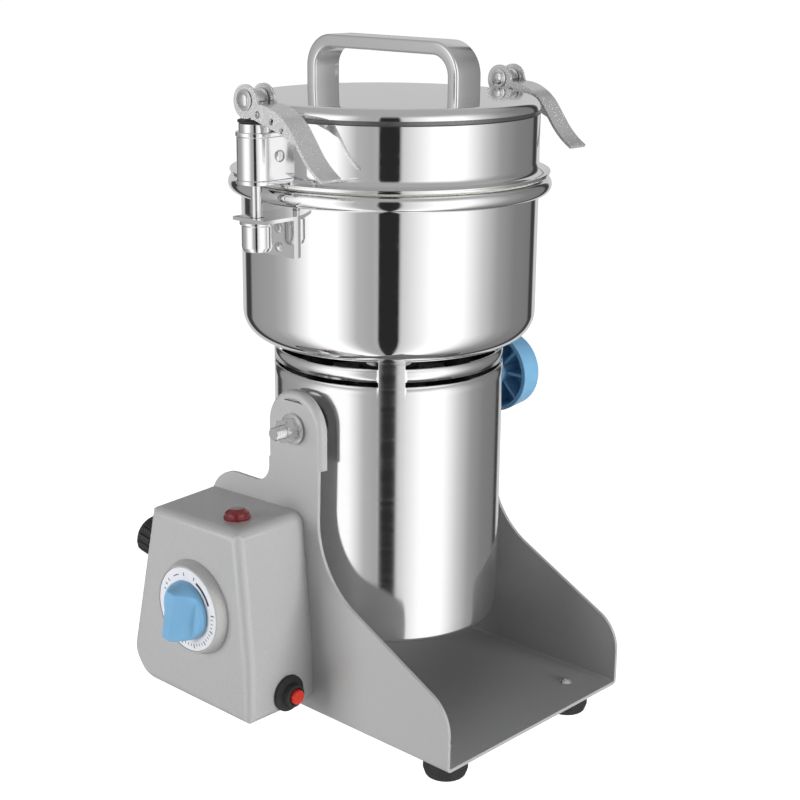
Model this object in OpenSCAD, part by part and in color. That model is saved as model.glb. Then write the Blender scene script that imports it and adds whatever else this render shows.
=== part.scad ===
// Electric grain mill. A motor barrel with a round grinding bowl on top hangs
// between the ears of a bent sheet cradle, so that it tips forward to empty.
// Lengths are millimetres, angles are degrees. X is the tilt axis, Z is up and
// the open front of the cradle faces -Y. The table is at z = 0.

/* [Cradle] */
// Gap between the barrel and a side plate
barrel_gap = 8.25; // [7.5:0.25:10]
// Thickness of the cradle sheet
cradle_sheet = 2; // [1.6:0.1:2.2]
// Reach of the base plate in front of the tilt axis
front_reach = 121; // [116:1:128]
// Reach of the base plate behind the tilt axis
back_reach = 92; // [90:1:98]
// Height of the tilt axis above the table
pivot_z = 188; // [187:0.5:192]
// Outside radius of the two long bends
base_bend = 3; // [2.6:0.1:4]
// Radius of the round ears
ear_r = 22; // [21.5:0.5:24]
// Depth of the turned-in edge around an ear
ear_lip = 5.2; // [4.5:0.1:6]
// Reach of an arm in front of the tilt axis
arm_front = 18.4; // [17:0.2:19]
// Reach of an arm behind the tilt axis
arm_back = 21; // [20:0.2:21.4]
// Height at which the front slope would meet the arm
slope_top_z = 104; // [100:1:108]
// Height at which the front slope meets the front edge
slope_low_z = 52.6; // [48:0.2:56]
// Radius of the round front corner
front_corner_r = 23.6; // [18:0.2:26]
// Height of the shoulder behind the arm
shoulder_z = 150; // [146:1:152]
// Reach of the flat part of the shoulder
shoulder_reach = 63; // [60:1:66]
// Height at which the shoulder meets the back edge
back_low_z = 102; // [96:1:108]

/* [Feet] */
// Height of a rubber foot
foot_h = 15.8; // [14:0.2:18]
// Radius of a rubber foot
foot_r = 13; // [11:0.5:14]
// Distance of a foot from the outside of its side plate
foot_in = 22.25; // [18.25:1:26.25]
// Distance of the front feet in front of the tilt axis
foot_front = 100; // [94:1:104]
// Distance of the back feet behind the tilt axis
foot_back = 75; // [70:1:78]

/* [Motor barrel] */
// Outside radius of the motor barrel
barrel_r = 68; // [67.5:0.1:68.4]
// Wall of the motor barrel
barrel_wall = 1.2; // [1:0.1:1.5]
// Height of the underside of the barrel
barrel_low_z = 60; // [58:0.5:62]
// Height of the band between the two rows of air slots
slot_band = 7.3; // [5:0.1:9]
// Height of the lower air slots
slot_low_h = 3; // [2:0.1:4]
// Height of the upper air slots
slot_high_h = 5.2; // [4:0.1:6]

/* [Grinding bowl] */
// Outside radius of the bowl
bowl_r = 86; // [85:0.5:87]
// Wall of the bowl
bowl_wall = 1.5; // [1.2:0.1:1.8]
// Height of the underside of the bowl
bowl_low_z = 231; // [230:0.5:232]
// Height of the top of the bowl
bowl_top_z = 326.5; // [325:0.5:328]
// Radius of the lower corner of the bowl
bowl_corner_r = 16.4; // [12:0.2:18]
// Reach of the rolled rim past the bowl
rim_reach = 7.4; // [6.8:0.1:7.6]
// Height of the rolled rim
rim_h = 9.6; // [8.8:0.2:10]
// Thickness of the flat floor plate in the bowl
floor_t = 3; // [2.5:0.1:3.5]

/* [Lid] */
// Setback of the lid skirt from the outside of the bowl
lid_in = 0.2; // [0:0.1:0.6]
// Sheet thickness of the lid
lid_sheet = 1; // [0.8:0.1:1.2]
// Height of the top of the lid
lid_top_z = 370.6; // [369:0.2:372]
// Reach of the lid flange past the bowl
flange_reach = 6.4; // [5.8:0.1:6.6]
// Thickness of the seal ring
seal_t = 1; // [0.8:0.1:1.4]
// Depth to which the inner pan enters the bowl
pan_drop = 6; // [4:0.5:8]

/* [Handle] */
// Outside length of the handle
handle_l = 118; // [110:1:122]
// Width of the handle bar
handle_w = 20.5; // [18:0.5:22]
// Thickness of the handle bar
handle_t = 7.6; // [6:0.2:8]
// Height of the handle above the lid
handle_rise = 32.4; // [29.4:0.5:35.4]
// Outside radius of the handle bends
handle_bend = 19; // [16:0.5:20]

/* [Latches] */
// Distance of a latch rod from the outside of the bowl
latch_out = 17.6; // [17.5:0.1:18.5]
// Radius of a latch rod
rod_r = 3; // [2.8:0.1:3.2]
// Height of the lever pin above the lid
pin_rise = 4; // [3.6:0.1:5]
// Radius of the round cam eyes
eye_r = 9; // [8.7:0.1:9.3]
// Offset of the cam eyes from the pin
cam_throw = 0.9; // [0.7:0.1:1]
// Outer width of a lever
lever_w = 14.4; // [14:0.1:15.4]
// Sheet thickness of a lever
lever_t = 1.7; // [1.4:0.1:1.9]
// Radius of the first lever curve
lever_out_r = 31.4; // [30:0.1:32.4]
// Radius of the last lever curve
lever_in_r = 50; // [44:1:56]
// Radius of a guide tube
tube_r = 9; // [8.6:0.1:9.1]
// Height of a strap
strap_h = 27.8; // [25:0.2:29]
// Height of the underside of a strap
strap_z = 330.1; // [330:0.1:331]
// Height of the top of a catch ledge
ledge_z = 312; // [310:0.5:313]
// Width of a catch ledge
ledge_w = 25; // [22:0.5:28]

/* [Tilt pivot] */
// Radius of the pivot studs
stud_r = 4; // [3.6:0.1:4.2]
// Radius of the bushes in the ears
bush_r = 7; // [6:0.2:8]
// Reach of the left stud past its side plate
stud_out = 15.75; // [13.75:0.5:19.75]
// Radius of the pivot washers
pivot_washer_r = 9; // [8.5:0.1:10]
// Width across the corners of the pivot nut
pivot_nut_w = 15; // [14:0.1:16]

/* [Lock knob] */
// Radius of the lock knob at its open side
knob_r = 25.6; // [24:0.1:27]
// Radius of the lock knob at its outer face
knob_face_r = 24; // [22:0.1:24]
// Distance of the open side from the side plate
knob_out = 20.75; // [18.75:0.5:22.75]
// Depth of the lock knob
knob_h = 17.5; // [15.5:0.5:19]
// Wall of the lock knob
knob_wall = 2.6; // [2.2:0.1:3.2]
// Number of ribs inside the knob
knob_ribs = 8; // [6:1:10]

/* [Control box] */
// Reach of the box past the side plate
box_reach = 49.75; // [47.75:0.5:51.75]
// Wall of the control box
box_wall = 2.5; // [2:0.1:3]
// Height of the underside of the box
box_low_z = 22.8; // [22:0.2:25]
// Height of the top at its front edge
box_top_front_z = 139.4; // [137:0.2:141]
// Height of the top at its back edge
box_top_back_z = 136.2; // [134:0.2:138]
// Reach of the box in front of the tilt axis
box_front = 14.2; // [12:0.2:16]
// Setback of the top front edge
box_front_lean = 7.6; // [6:0.2:9]
// Reach of the top back edge behind the tilt axis
box_back = 74.2; // [72:0.2:75.4]
// Angle at which the back spreads downwards
box_back_angle = 13.4; // [12:0.2:14.6]
// Angle at which the back closes in away from the plate
box_slant = 5.4; // [4:0.2:6.4]
// Radius of the large lower back corner
box_corner_r = 26; // [20:0.5:28]

/* [Timer] */
// Distance of the timer behind the tilt axis
timer_y = 30.5; // [28:0.5:33]
// Height of the timer
timer_z = 85; // [83:0.5:88]
// Radius of the timer ring at the box
ring_r = 28.5; // [27.6:0.1:29.4]
// Radius of the timer ring at its face
ring_face_r = 26.2; // [26:0.1:27.2]
// Height of the timer ring above the box
ring_h = 6.5; // [5.5:0.1:7.5]
// Radius of the white dial
dial_r = 25; // [24:0.2:25.6]
// Radius of the timer knob
timer_knob_r = 17.5; // [16:0.2:18.5]
// Height of the timer knob
timer_knob_h = 14.5; // [13:0.5:16]

/* [Lamp, reset and switch] */
// Distance of the lamp from the outer face of the box
lamp_in = 19; // [17:0.5:21]
// Distance of the lamp behind the tilt axis
lamp_y = 14.5; // [12:0.5:17]
// Radius of the lamp lens
lamp_r = 7.9; // [7.4:0.1:8.4]
// Distance of the reset button from the outer face of the box
reset_in = 30; // [29:0.1:33]
// Height of the reset button
reset_z = 35.2; // [34.2:0.2:37]
// Radius of the rubber collar
collar_r = 10.9; // [10.4:0.1:11.4]
// Radius of the reset button
reset_r = 4.4; // [4:0.1:4.6]
// Travel of the reset button
reset_travel = 2; // [1.5:0.1:2.5]
// Distance of the switch from the outer face of the box
switch_in = 15; // [14.5:0.5:19]
// Height of the switch
switch_z = 67; // [65:0.5:69]
// Height of the switch frame
switch_h = 21; // [20:0.2:22]
// Width of the switch frame
switch_w = 15; // [14:0.2:16]
// Distance of the cable gland from the outer face of the box
gland_in = 19; // [17:0.5:21]
// Height of the cable gland
gland_z = 106; // [104:0.5:108]
// Radius of the gland nut
gland_r = 12.3; // [11:0.1:13]
// Radius of the gland bore
gland_bore_r = 4.2; // [3.5:0.1:4.6]

/* [Motor and rotor] */
// Gap between the stator core and the barrel
stator_gap = 8.8; // [6.8:0.5:10.8]
// Radius of the stator bore
stator_bore_r = 33; // [32:0.5:34]
// Height of the stator core
stator_h = 42; // [38:1:44]
// Radius of the rotor shaft
shaft_r = 5; // [4.5:0.1:5.5]
// Radius of a bearing
bearing_r = 14; // [13:0.5:15]
// Gap between the cooling fan and the barrel
fan_gap = 12.8; // [10.8:1:16.8]
// Number of fan blades
fan_blades = 12; // [8:1:14]
// Reach of the lower crossed blades
blade_reach = 76; // [70:1:79]
// Width of a blade
blade_w = 16; // [14:0.5:18]

/* [Hidden] */
$fn = 72;
// Overrun of every cut beyond the surface it opens
over = 1;
// Radial clearance of every turning or sliding fit
fit = 0.06;
// Flat clearance between neighbouring moving faces
face_gap = 0.35;
// Size of a rounding arc, a little over one so that it crosses the sides it joins
arc_share = 1.001;
lip_bend = 3.4;
lip_end_z = 167;
shoulder_hollow_r = 12;
shoulder_r = 24;
slope_hollow_r = 53;
foot_screw_r = 2;
barrel_edge_r = 3.2;
bridge_w = 15;
lid_edge_r = 6.4;
cam_gap = 0.6;
lever_run = 11.4;
lever_start = 9.8;
lever_drop = 2.4;
strap_t = 1.2;
latch_washer_t = 1.4;
strap_rivet_out = 9.9;
ledge_t = 2;
bracket_h = 23;
socket_r = 8.3;
socket_h = 16.2;
bush_collar_t = 2;
boss_r = 11;
pivot_washer_t = 1.6;
pivot_nut_h = 6.5;
knob_hub_r = 8.5;
box_edge_r = 6.6;
timer_shaft_r = 3;
dial_t = 1;
air_gap = 0.8;
bearing_h = 9;
fan_h = 12;
blade_t = 2.4;
box_lean_z = 60;
bush_collar_r = 12;
winding_h = 11;
lower_bearing_z = 94;
upper_bearing_z = 203;
stator_z = 138;
plate_in_x = barrel_r + barrel_gap;
plate_x = plate_in_x + cradle_sheet;
cradle_w = 2 * plate_x;
base_top_z = foot_h + cradle_sheet;
foot_x = plate_x - foot_in;
barrel_in_r = barrel_r - barrel_wall;
stator_r = barrel_in_r - stator_gap;
fan_r = barrel_in_r - fan_gap;
rim_r = bowl_r + rim_reach;
lid_r = bowl_r - lid_in;
lid_flange_r = bowl_r + flange_reach;
handle_top_z = lid_top_z + handle_rise;
latch_x = bowl_r + latch_out;
pin_z = lid_top_z + pin_rise;
strap_rivet_x = bowl_r + strap_rivet_out;
stud_left_reach = plate_x + stud_out;
knob_open_x = plate_x + knob_out;
knob_face_x = knob_open_x + knob_h;
box_x = plate_x + box_reach;
lamp_x = box_x - lamp_in;
reset_x = box_x - reset_in;
switch_x = box_x - switch_in;
gland_x = box_x - gland_in;
dial_x = box_x + ring_h - dial_t - face_gap;
timer_end_x = dial_x + dial_t + face_gap + timer_knob_h;

// Direction of a vector with length one
function unit(v) = v / norm(v);

// Corner at p between the directions to p0 and p1, outside an arc of radius r
module corner(p0, p, p1, r) {
    u = unit(p0 - p);
    w = unit(p1 - p);
    mid = unit(u + w);
    half = acos(u * w) / 2;
    difference() {
        polygon([p + u * r / tan(half), p - mid * over, p + w * r / tan(half)]);
        translate(p + mid * r / sin(half))
            circle(arc_share * r);
    }
}

// Outline in Y and Z drawn out along X
module along_x(x0, x1) {
    translate([x0, 0, 0])
        rotate([90, 0, 90])
            linear_extrude(x1 - x0)
                children();
}

// Outline in X and Z drawn out along Y
module along_y(y0, y1) {
    translate([0, y1, 0])
        rotate([90, 0, 0])
            linear_extrude(y1 - y0)
                children();
}

module rod_x(r, x0, x1) {
    translate([x0, 0, 0])
        rotate([0, 90, 0])
            cylinder(r = r, h = x1 - x0);
}

module rod_y(r, y0, y1) {
    translate([0, y0, 0])
        rotate([-90, 0, 0])
            cylinder(r = r, h = y1 - y0);
}

module rod_z(r, z0, z1) {
    translate([0, 0, z0])
        cylinder(r = r, h = z1 - z0);
}

module tube_z(r, bore, z0, z1) {
    difference() {
        rod_z(r, z0, z1);
        rod_z(bore, z0 - over, z1 + over);
    }
}

// Low round head that stands on z = 0
module dome(r, h) {
    ball = (r * r + h * h) / (2 * h);
    intersection() {
        translate([0, 0, h - ball])
            sphere(ball);
        cylinder(r = r, h = h);
    }
}

// Everything is drawn around the bowl axis and then moved so that the middle of
// the overall box is at x = 0 and y = 0
module placed() {
    translate([(timer_end_x - knob_face_x) / 2, (front_reach - back_reach) / 2, 0])
        children();
}

// Children at the same place on both sides of the tilt axis
module both_sides() {
    children();
    mirror([1, 0, 0])
        children();
}

module at_pivot() {
    translate([0, 0, pivot_z])
        children();
}

// Cradle
arm_top = ear_r - cradle_sheet;
ear_core_r = ear_r - lip_bend;
wire_hole_r = 5;
wire_hole_y = 44;
wire_hole_z = 118;
screw_in = 5.5;
screw_spots = [[screw_in - box_front, box_low_z + screw_in],
    [box_back - screw_in, box_low_z + screw_in],
    [box_front_lean + screw_in - box_front, box_top_front_z - screw_in],
    [box_back - screw_in, box_top_back_z - screw_in]];
cover_screw_r = 1.5;
foot_spots = [[foot_x, -foot_front], [-foot_x, -foot_front], [foot_x, foot_back], [-foot_x, foot_back]];

module side_outline() {
    low = [-front_reach, foot_h];
    front = [-front_reach, slope_low_z];
    arm = [-arm_front, slope_top_z];
    arm_up = [-arm_top, lip_end_z];
    back_up = [arm_back, lip_end_z];
    back_arm = [arm_back, shoulder_z];
    shoulder = [shoulder_reach, shoulder_z];
    back = [back_reach, back_low_z];
    difference() {
        union() {
            polygon([low, [back_reach, foot_h], back, shoulder, back_arm, back_up, arm_up, arm, front]);
            corner(front, arm, arm_up, slope_hollow_r);
            corner(shoulder, back_arm, back_up, shoulder_hollow_r);
            translate([-ear_core_r, lip_end_z - over])
                square([2 * ear_core_r, pivot_z - lip_end_z + over]);
            translate([0, pivot_z])
                circle(ear_core_r);
        }
        corner(low, front, arm, front_corner_r);
        corner(back, shoulder, back_arm, shoulder_r);
    }
}

module channel_outline() {
    low = [plate_x, foot_h];
    in = [plate_in_x, base_top_z];
    up = [0, pivot_z];
    across = [-plate_x, 0];
    difference() {
        translate([-plate_x, foot_h])
            square([cradle_w, pivot_z]);
        for (side = [0, 1])
            mirror([side, 0, 0])
                corner(low + up, low, low + across, base_bend);
        difference() {
            translate([-plate_in_x, base_top_z])
                square([2 * plate_in_x, pivot_z]);
            for (side = [0, 1])
                mirror([side, 0, 0])
                    corner(in + up, in, in + across, base_bend - cradle_sheet);
        }
    }
}

// Section of the turned-in edge: distance from the ear centre, then depth
module lip_section() {
    translate([ear_core_r, lip_bend])
        intersection() {
            difference() {
                circle(lip_bend);
                circle(lip_bend - cradle_sheet);
            }
            translate([0, -lip_bend])
                square(lip_bend);
        }
    translate([ear_r - cradle_sheet, lip_bend])
        square([cradle_sheet, ear_lip - lip_bend]);
    translate([ear_core_r - over, 0])
        square([over, cradle_sheet]);
}

module ear_edge() {
    translate([-plate_x, 0, pivot_z])
        rotate([0, 90, 0])
            rotate([0, 0, 90])
                rotate_extrude(angle = 180)
                    lip_section();
    for (side = [0, 1])
        mirror([0, side, 0])
            translate([-plate_x, 0, lip_end_z])
                mirror([1, -1, 0])
                    linear_extrude(pivot_z - lip_end_z)
                        lip_section();
}

module cradle() {
    color([0.66, 0.67, 0.68]) placed()
        difference() {
            union() {
                intersection() {
                    along_y(-front_reach, back_reach)
                        channel_outline();
                    along_x(-plate_x, plate_x)
                        side_outline();
                }
                both_sides()
                    ear_edge();
            }
            at_pivot()
                rod_x(bush_r, -plate_x - over, plate_x + over);
            for (spot = foot_spots)
                translate(spot)
                    rod_z(foot_screw_r, foot_h - over, base_top_z + over);
            for (spot = screw_spots)
                translate([0, spot[0], spot[1]])
                    rod_x(cover_screw_r, -plate_x - over, -plate_in_x + over);
            translate([0, wire_hole_y, wire_hole_z])
                rod_x(wire_hole_r, -plate_x - over, -plate_in_x + over);
        }
}

// Feet
foot_edge = foot_r / 3;
foot_recess_r = foot_r * 0.45;
foot_recess_h = foot_h * 0.5;
foot_nut_h = 3;

module foot() {
    difference() {
        union() {
            rod_z(foot_r, foot_edge, foot_h);
            rod_z(foot_r - foot_edge, 0, foot_edge + over);
            rotate_extrude()
                translate([foot_r - foot_edge, foot_edge])
                    intersection() {
                        circle(foot_edge);
                        translate([0, -foot_edge])
                            square([foot_edge, foot_edge]);
                    }
        }
        rod_z(foot_recess_r, -over, foot_recess_h);
        rod_z(foot_screw_r, 0, foot_h + over);
    }
}

module feet() {
    color([0.08, 0.08, 0.09]) placed()
        for (spot = foot_spots)
            translate(spot)
                foot();
}

module foot_screws() {
    color([0.75, 0.75, 0.76]) placed()
        for (spot = foot_spots)
            translate(spot) {
                translate([0, 0, base_top_z])
                    dome(2 * foot_screw_r, foot_screw_r);
                rod_z(foot_screw_r, foot_recess_h - foot_nut_h - over, base_top_z);
                difference() {
                    translate([0, 0, foot_recess_h - foot_nut_h])
                        cylinder(r = 2 * foot_screw_r, h = foot_nut_h, $fn = 6);
                    rod_z(foot_screw_r, 0, foot_recess_h + over);
                }
            }
}

// Tilt pivot
module pivot_bushes() {
    color([0.12, 0.12, 0.13]) placed()
        both_sides()
            at_pivot()
                difference() {
                    union() {
                        rod_x(bush_r, -plate_x, -plate_in_x);
                        rod_x(bush_collar_r, -plate_in_x, bush_collar_t - plate_in_x);
                    }
                    rod_x(stud_r + fit, -plate_x - over, bush_collar_t - plate_in_x + over);
                }
}

boss_end_x = plate_in_x - bush_collar_t - face_gap;
stud_head_r = 1.75 * stud_r;
stud_head_in = sqrt(barrel_in_r * barrel_in_r - stud_head_r * stud_head_r);
washer_out_x = plate_x + face_gap + pivot_washer_t;

module pivot_bosses() {
    color([0.7, 0.71, 0.72]) placed()
        both_sides()
            difference() {
                at_pivot()
                    rod_x(boss_r, -boss_end_x, 0);
                rod_z(barrel_r, pivot_z - boss_r - over, pivot_z + boss_r + over);
                at_pivot()
                    rod_x(stud_r, -boss_end_x - over, 0);
            }
}

module pivot_studs() {
    color([0.76, 0.76, 0.77]) placed()
        at_pivot() {
            rod_x(stud_r, -stud_left_reach, -stud_head_in);
            rod_x(stud_head_r, -stud_head_in, stud_r - stud_head_in);
            rod_x(stud_r, stud_head_in, knob_face_x - 2 * knob_wall);
            rod_x(stud_head_r, stud_head_in - stud_r, stud_head_in);
        }
}

module pivot_nut() {
    color([0.78, 0.78, 0.79]) placed()
        at_pivot()
            difference() {
                union() {
                    rod_x(pivot_washer_r, -washer_out_x, -plate_x - face_gap);
                    translate([-washer_out_x, 0, 0])
                        rotate([0, -90, 0])
                            cylinder(d = pivot_nut_w, h = pivot_nut_h, $fn = 6);
                    rod_x(pivot_washer_r, plate_x + face_gap, washer_out_x);
                }
                rod_x(stud_r, -stud_left_reach - over, knob_open_x);
            }
}

// Lock knob, drawn with its open side down and then laid along X
knob_edge = 3;
knob_rib_t = 1.8;
knob_rib_set = 3;
knob_hub_x = washer_out_x + face_gap;

module lock_knob() {
    floor_x = knob_face_x - knob_wall;
    color([0.36, 0.62, 0.83]) placed()
        at_pivot()
            rotate([0, 90, 0]) {
                rotate_extrude()
                    difference() {
                        polygon([[0, knob_open_x], [knob_r, knob_open_x],
                            [knob_face_r, knob_face_x], [0, knob_face_x]]);
                        corner([knob_r, knob_open_x], [knob_face_r, knob_face_x],
                            [0, knob_face_x], knob_edge);
                        polygon([[0, knob_open_x - over], [knob_r - knob_wall, knob_open_x - over],
                            [knob_face_r - knob_wall, floor_x], [0, floor_x]]);
                    }
                difference() {
                    union() {
                        rod_z(knob_hub_r, knob_hub_x, floor_x + over);
                        intersection() {
                            for (rib = [1 : knob_ribs])
                                rotate([0, 0, rib * 360 / knob_ribs])
                                    translate([0, -knob_rib_t / 2, knob_open_x + knob_rib_set])
                                        cube([knob_r, knob_rib_t, floor_x - knob_open_x]);
                            rod_z(knob_face_r - knob_wall / 2, knob_open_x, floor_x + over);
                        }
                    }
                    rod_z(stud_r + fit, knob_hub_x - over, knob_face_x - 2 * knob_wall + face_gap);
                }
            }
}

// Control box: one moulded cover over the left side plate. Each face is its outward
// direction and how far it lies from the origin along it.
box_long = 3 * box_x;
lean_angle = atan(box_front_lean / (box_top_front_z - box_lean_z));
top_angle = atan((box_top_front_z - box_top_back_z) / (box_back + box_front - box_front_lean));
back_tilt = atan(tan(box_back_angle) * cos(box_slant));
side_face = [[-1, 0, 0], box_x];
low_face = [[0, 0, -1], -box_low_z];
front_face = [[0, -1, 0], box_front];
lean_out = [0, -cos(lean_angle), sin(lean_angle)];
lean_face = [lean_out, lean_out * [0, -box_front, box_lean_z]];
top_out = [0, sin(top_angle), cos(top_angle)];
top_face = [top_out, top_out * [0, box_front_lean - box_front, box_top_front_z]];
back_out = [-sin(box_slant) * cos(back_tilt), cos(box_slant) * cos(back_tilt), sin(back_tilt)];
back_face = [back_out, back_out * [-plate_x, box_back, box_top_back_z]];

// Point on two faces, both moved inwards by inset
function on_both(f, g, inset) = let(k = f[0] * g[0], a = f[1] - inset, b = g[1] - inset)
    ((a - b * k) * f[0] + (b - a * k) * g[0]) / (1 - k * k);

module beyond(face, inset) {
    out = face[0];
    translate((face[1] - inset) * out)
        rotate([0, acos(out[2]), atan2(out[1], out[0])])
            translate([-box_long, -box_long, 0])
                cube([2 * box_long, 2 * box_long, box_long]);
}

// What is cut away to round the edge between two faces
module edge_cut(f, g, inset, r) {
    k = f[0] * g[0];
    along = unit(cross(f[0], g[0]));
    turn = acos(along[2]);
    spin = atan2(along[1], along[0]);
    side_x = [cos(turn) * cos(spin), cos(turn) * sin(spin), -sin(turn)];
    side_y = [-sin(spin), cos(spin), 0];
    in_f = (k * f[0] - g[0]) * box_long;
    in_g = (k * g[0] - f[0]) * box_long;
    translate(on_both(f, g, inset))
        rotate([0, turn, spin])
            translate([0, 0, -box_long])
                linear_extrude(2 * box_long)
                    corner([in_f * side_x, in_f * side_y], [0, 0], [in_g * side_x, in_g * side_y], r);
}

// Box with plain edges, but for the large corner low at the back
module box_block(inset, end_x) {
    side = -box_x + inset;
    difference() {
        translate([side, inset - box_front, box_low_z + inset])
            cube([end_x - side, box_long, box_top_front_z]);
        beyond(lean_face, inset);
        beyond(top_face, inset);
        beyond(back_face, inset);
        edge_cut(back_face, low_face, inset, box_corner_r - inset);
    }
}

// Rounds one edge after another
module round_edges(pairs) {
    last = len(pairs) - 1;
    difference() {
        if (last == 0)
            children();
        else
            round_edges([for (i = [0 : last - 1]) pairs[i]])
                children();
        edge_cut(pairs[last][0], pairs[last][1], 0, box_edge_r);
    }
}

module box_form() {
    round_edges([[lean_face, top_face], [top_face, back_face], [front_face, low_face],
            [side_face, back_face], [side_face, top_face], [side_face, lean_face],
            [side_face, front_face], [side_face, low_face]])
        box_block(0, -plate_x);
}

// Place on the back face of the box, with +Y pointing straight out of it
function back_y(x, z) = (back_face[1] + x * back_out[0] - z * back_out[2]) / back_out[1];

module on_back(x, z) {
    translate([-x, back_y(x, z), z])
        rotate([back_tilt, 0, box_slant])
            children();
}

boss_len = 10;
switch_lap = 1.2;
cover_boss_r = 4.5;
neck_r = 5.5;
lamp_neck_r = lamp_r * 0.75;
gland_neck_r = gland_r * 0.7;
switch_body_w = switch_w - 2 * switch_lap;
switch_body_h = switch_h - 2 * switch_lap;

function top_z(y) = (top_face[1] - y * top_out[1]) / top_out[2];

module on_top(x, y) {
    translate([-x, y, top_z(y)])
        rotate([-top_angle, 0, 0])
            children();
}

module control_cover() {
    color([0.62, 0.63, 0.62]) placed()
        difference() {
            union() {
                difference() {
                    box_form();
                    box_block(box_wall, over - plate_x);
                }
                for (spot = screw_spots)
                    translate([0, spot[0], spot[1]])
                        rod_x(cover_boss_r, -plate_x - boss_len, -plate_x);
            }
            for (spot = screw_spots)
                translate([0, spot[0], spot[1]])
                    rod_x(cover_screw_r, over - plate_x - boss_len, over - plate_x);
            translate([0, timer_y, timer_z])
                rod_x(neck_r, -box_x - over, box_wall - box_x + over);
            on_top(lamp_x, lamp_y)
                rod_z(lamp_neck_r, -box_wall - 2 * over, over);
            translate([-reset_x, -box_front, reset_z])
                rod_y(neck_r, -over, box_wall + over);
            on_back(switch_x, switch_z)
                translate([-switch_body_w / 2, -box_wall - over, -switch_body_h / 2])
                    cube([switch_body_w, box_wall + 2 * over, switch_body_h]);
            on_back(gland_x, gland_z)
                rod_y(gland_neck_r, -box_wall - 2 * over, over);
        }
}

module cover_screws() {
    color([0.75, 0.75, 0.76]) placed()
        for (spot = screw_spots)
            translate([-plate_in_x, spot[0], spot[1]]) {
                rotate([0, 90, 0])
                    dome(2 * cover_screw_r, cover_screw_r);
                rod_x(cover_screw_r, -boss_len / 2, 0);
            }
}

// Timer on the outer face of the box
timer_body_w = 44;
timer_body_h = 40;
timer_body_d = 30;
timer_bore_d = 12;

module at_timer() {
    translate([0, timer_y, timer_z])
        children();
}

module timer_body() {
    wall_x = box_wall - box_x;
    color([0.9, 0.9, 0.88]) placed()
        at_timer()
            difference() {
                union() {
                    translate([wall_x, -timer_body_w / 2, -timer_body_h / 2])
                        cube([timer_body_d, timer_body_w, timer_body_h]);
                    rod_x(neck_r, -box_x, wall_x + over);
                }
                rod_x(timer_shaft_r + fit, -box_x - over, wall_x + timer_bore_d);
            }
}

module timer_ring() {
    color([0.72, 0.72, 0.71]) placed()
        at_timer()
            difference() {
                translate([-box_x, 0, 0])
                    rotate([0, -90, 0])
                        cylinder(r1 = ring_r, r2 = ring_face_r, h = ring_h);
                rod_x(dial_r, -box_x - ring_h - over, -dial_x);
                rod_x(timer_shaft_r + face_gap, -box_x - ring_h, -box_x + over);
            }
}

module timer_dial() {
    color([0.95, 0.95, 0.96]) placed()
        at_timer()
            difference() {
                rod_x(dial_r, -dial_x - dial_t, -dial_x);
                rod_x(timer_shaft_r + face_gap, -dial_x - dial_t - over, over - dial_x);
            }
}

knob_skirt_h = timer_knob_h * 0.28;
knob_grip_low = timer_knob_r * 0.66;
knob_grip_high = timer_knob_r * 0.22;
knob_turn = 11;

module timer_knob() {
    low = -dial_x - dial_t - face_gap;
    color([0.42, 0.66, 0.88]) placed()
        at_timer() {
            rod_x(timer_knob_r, low - knob_skirt_h, low);
            intersection() {
                rod_x(timer_knob_r, low - timer_knob_h, low - knob_skirt_h + over);
                rotate([knob_turn, 0, 0])
                    rotate([90, 0, 90])
                        rotate([90, 0, 0])
                            translate([0, 0, -timer_knob_r])
                                linear_extrude(2 * timer_knob_r)
                                    polygon([[-knob_grip_low, low - knob_skirt_h + over],
                                        [knob_grip_low, low - knob_skirt_h + over],
                                        [knob_grip_high, low - timer_knob_h],
                                        [-knob_grip_high, low - timer_knob_h]]);
            }
            rod_x(timer_shaft_r, low - over, box_wall - box_x + timer_bore_d - over);
        }
}

// Lamp on the top of the box
lamp_flange_h = 2;
lamp_dome_h = lamp_r * 0.8;
lamp_body_h = 20;

module lamp_body() {
    color([0.2, 0.2, 0.2]) placed()
        on_top(lamp_x, lamp_y) {
            rod_z(lamp_neck_r, -lamp_body_h, 0);
            difference() {
                rod_z(lamp_neck_r + lamp_flange_h, -box_wall - lamp_flange_h, -box_wall);
                rod_z(lamp_neck_r, -lamp_body_h, 0);
            }
        }
}

module lamp_lens() {
    color([0.6, 0.06, 0.08]) placed()
        on_top(lamp_x, lamp_y) {
            rod_z(lamp_r, 0, lamp_flange_h);
            translate([0, 0, lamp_flange_h])
                dome(lamp_r, lamp_dome_h);
        }
}

// Reset button of the overload breaker, low on the front of the box
collar_h = 2.2;
collar_step_r = collar_r * 0.62;
collar_step_h = 7.4;
reset_out = 10.2;
reset_dome_h = 1.6;
breaker_w = 16;
breaker_h = 14;
breaker_d = 30;
breaker_bore = 14;

module at_reset() {
    translate([-reset_x, -box_front, reset_z])
        children();
}

module reset_breaker() {
    color([0.1, 0.1, 0.1]) placed()
        at_reset()
            difference() {
                union() {
                    translate([-breaker_w / 2, box_wall, -breaker_h / 2])
                        cube([breaker_w, breaker_d, breaker_h]);
                    rod_y(neck_r, 0, box_wall + over);
                }
                rod_y(reset_r + fit, -over, breaker_bore);
            }
}

module reset_collar() {
    color([0.07, 0.07, 0.08]) placed()
        at_reset()
            difference() {
                union() {
                    rod_y(collar_r, -collar_h, 0);
                    rod_y(collar_step_r, -collar_step_h, 0);
                }
                rod_y(reset_r + face_gap, -collar_step_h - over, over);
            }
}

module reset_button() {
    color([0.85, 0.12, 0.08]) placed()
        at_reset() {
            rod_y(reset_r, reset_dome_h - reset_out, breaker_bore - reset_travel - face_gap);
            translate([0, reset_dome_h - reset_out, 0])
                rotate([90, 0, 0])
                    dome(reset_r, reset_dome_h);
        }
}

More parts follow.
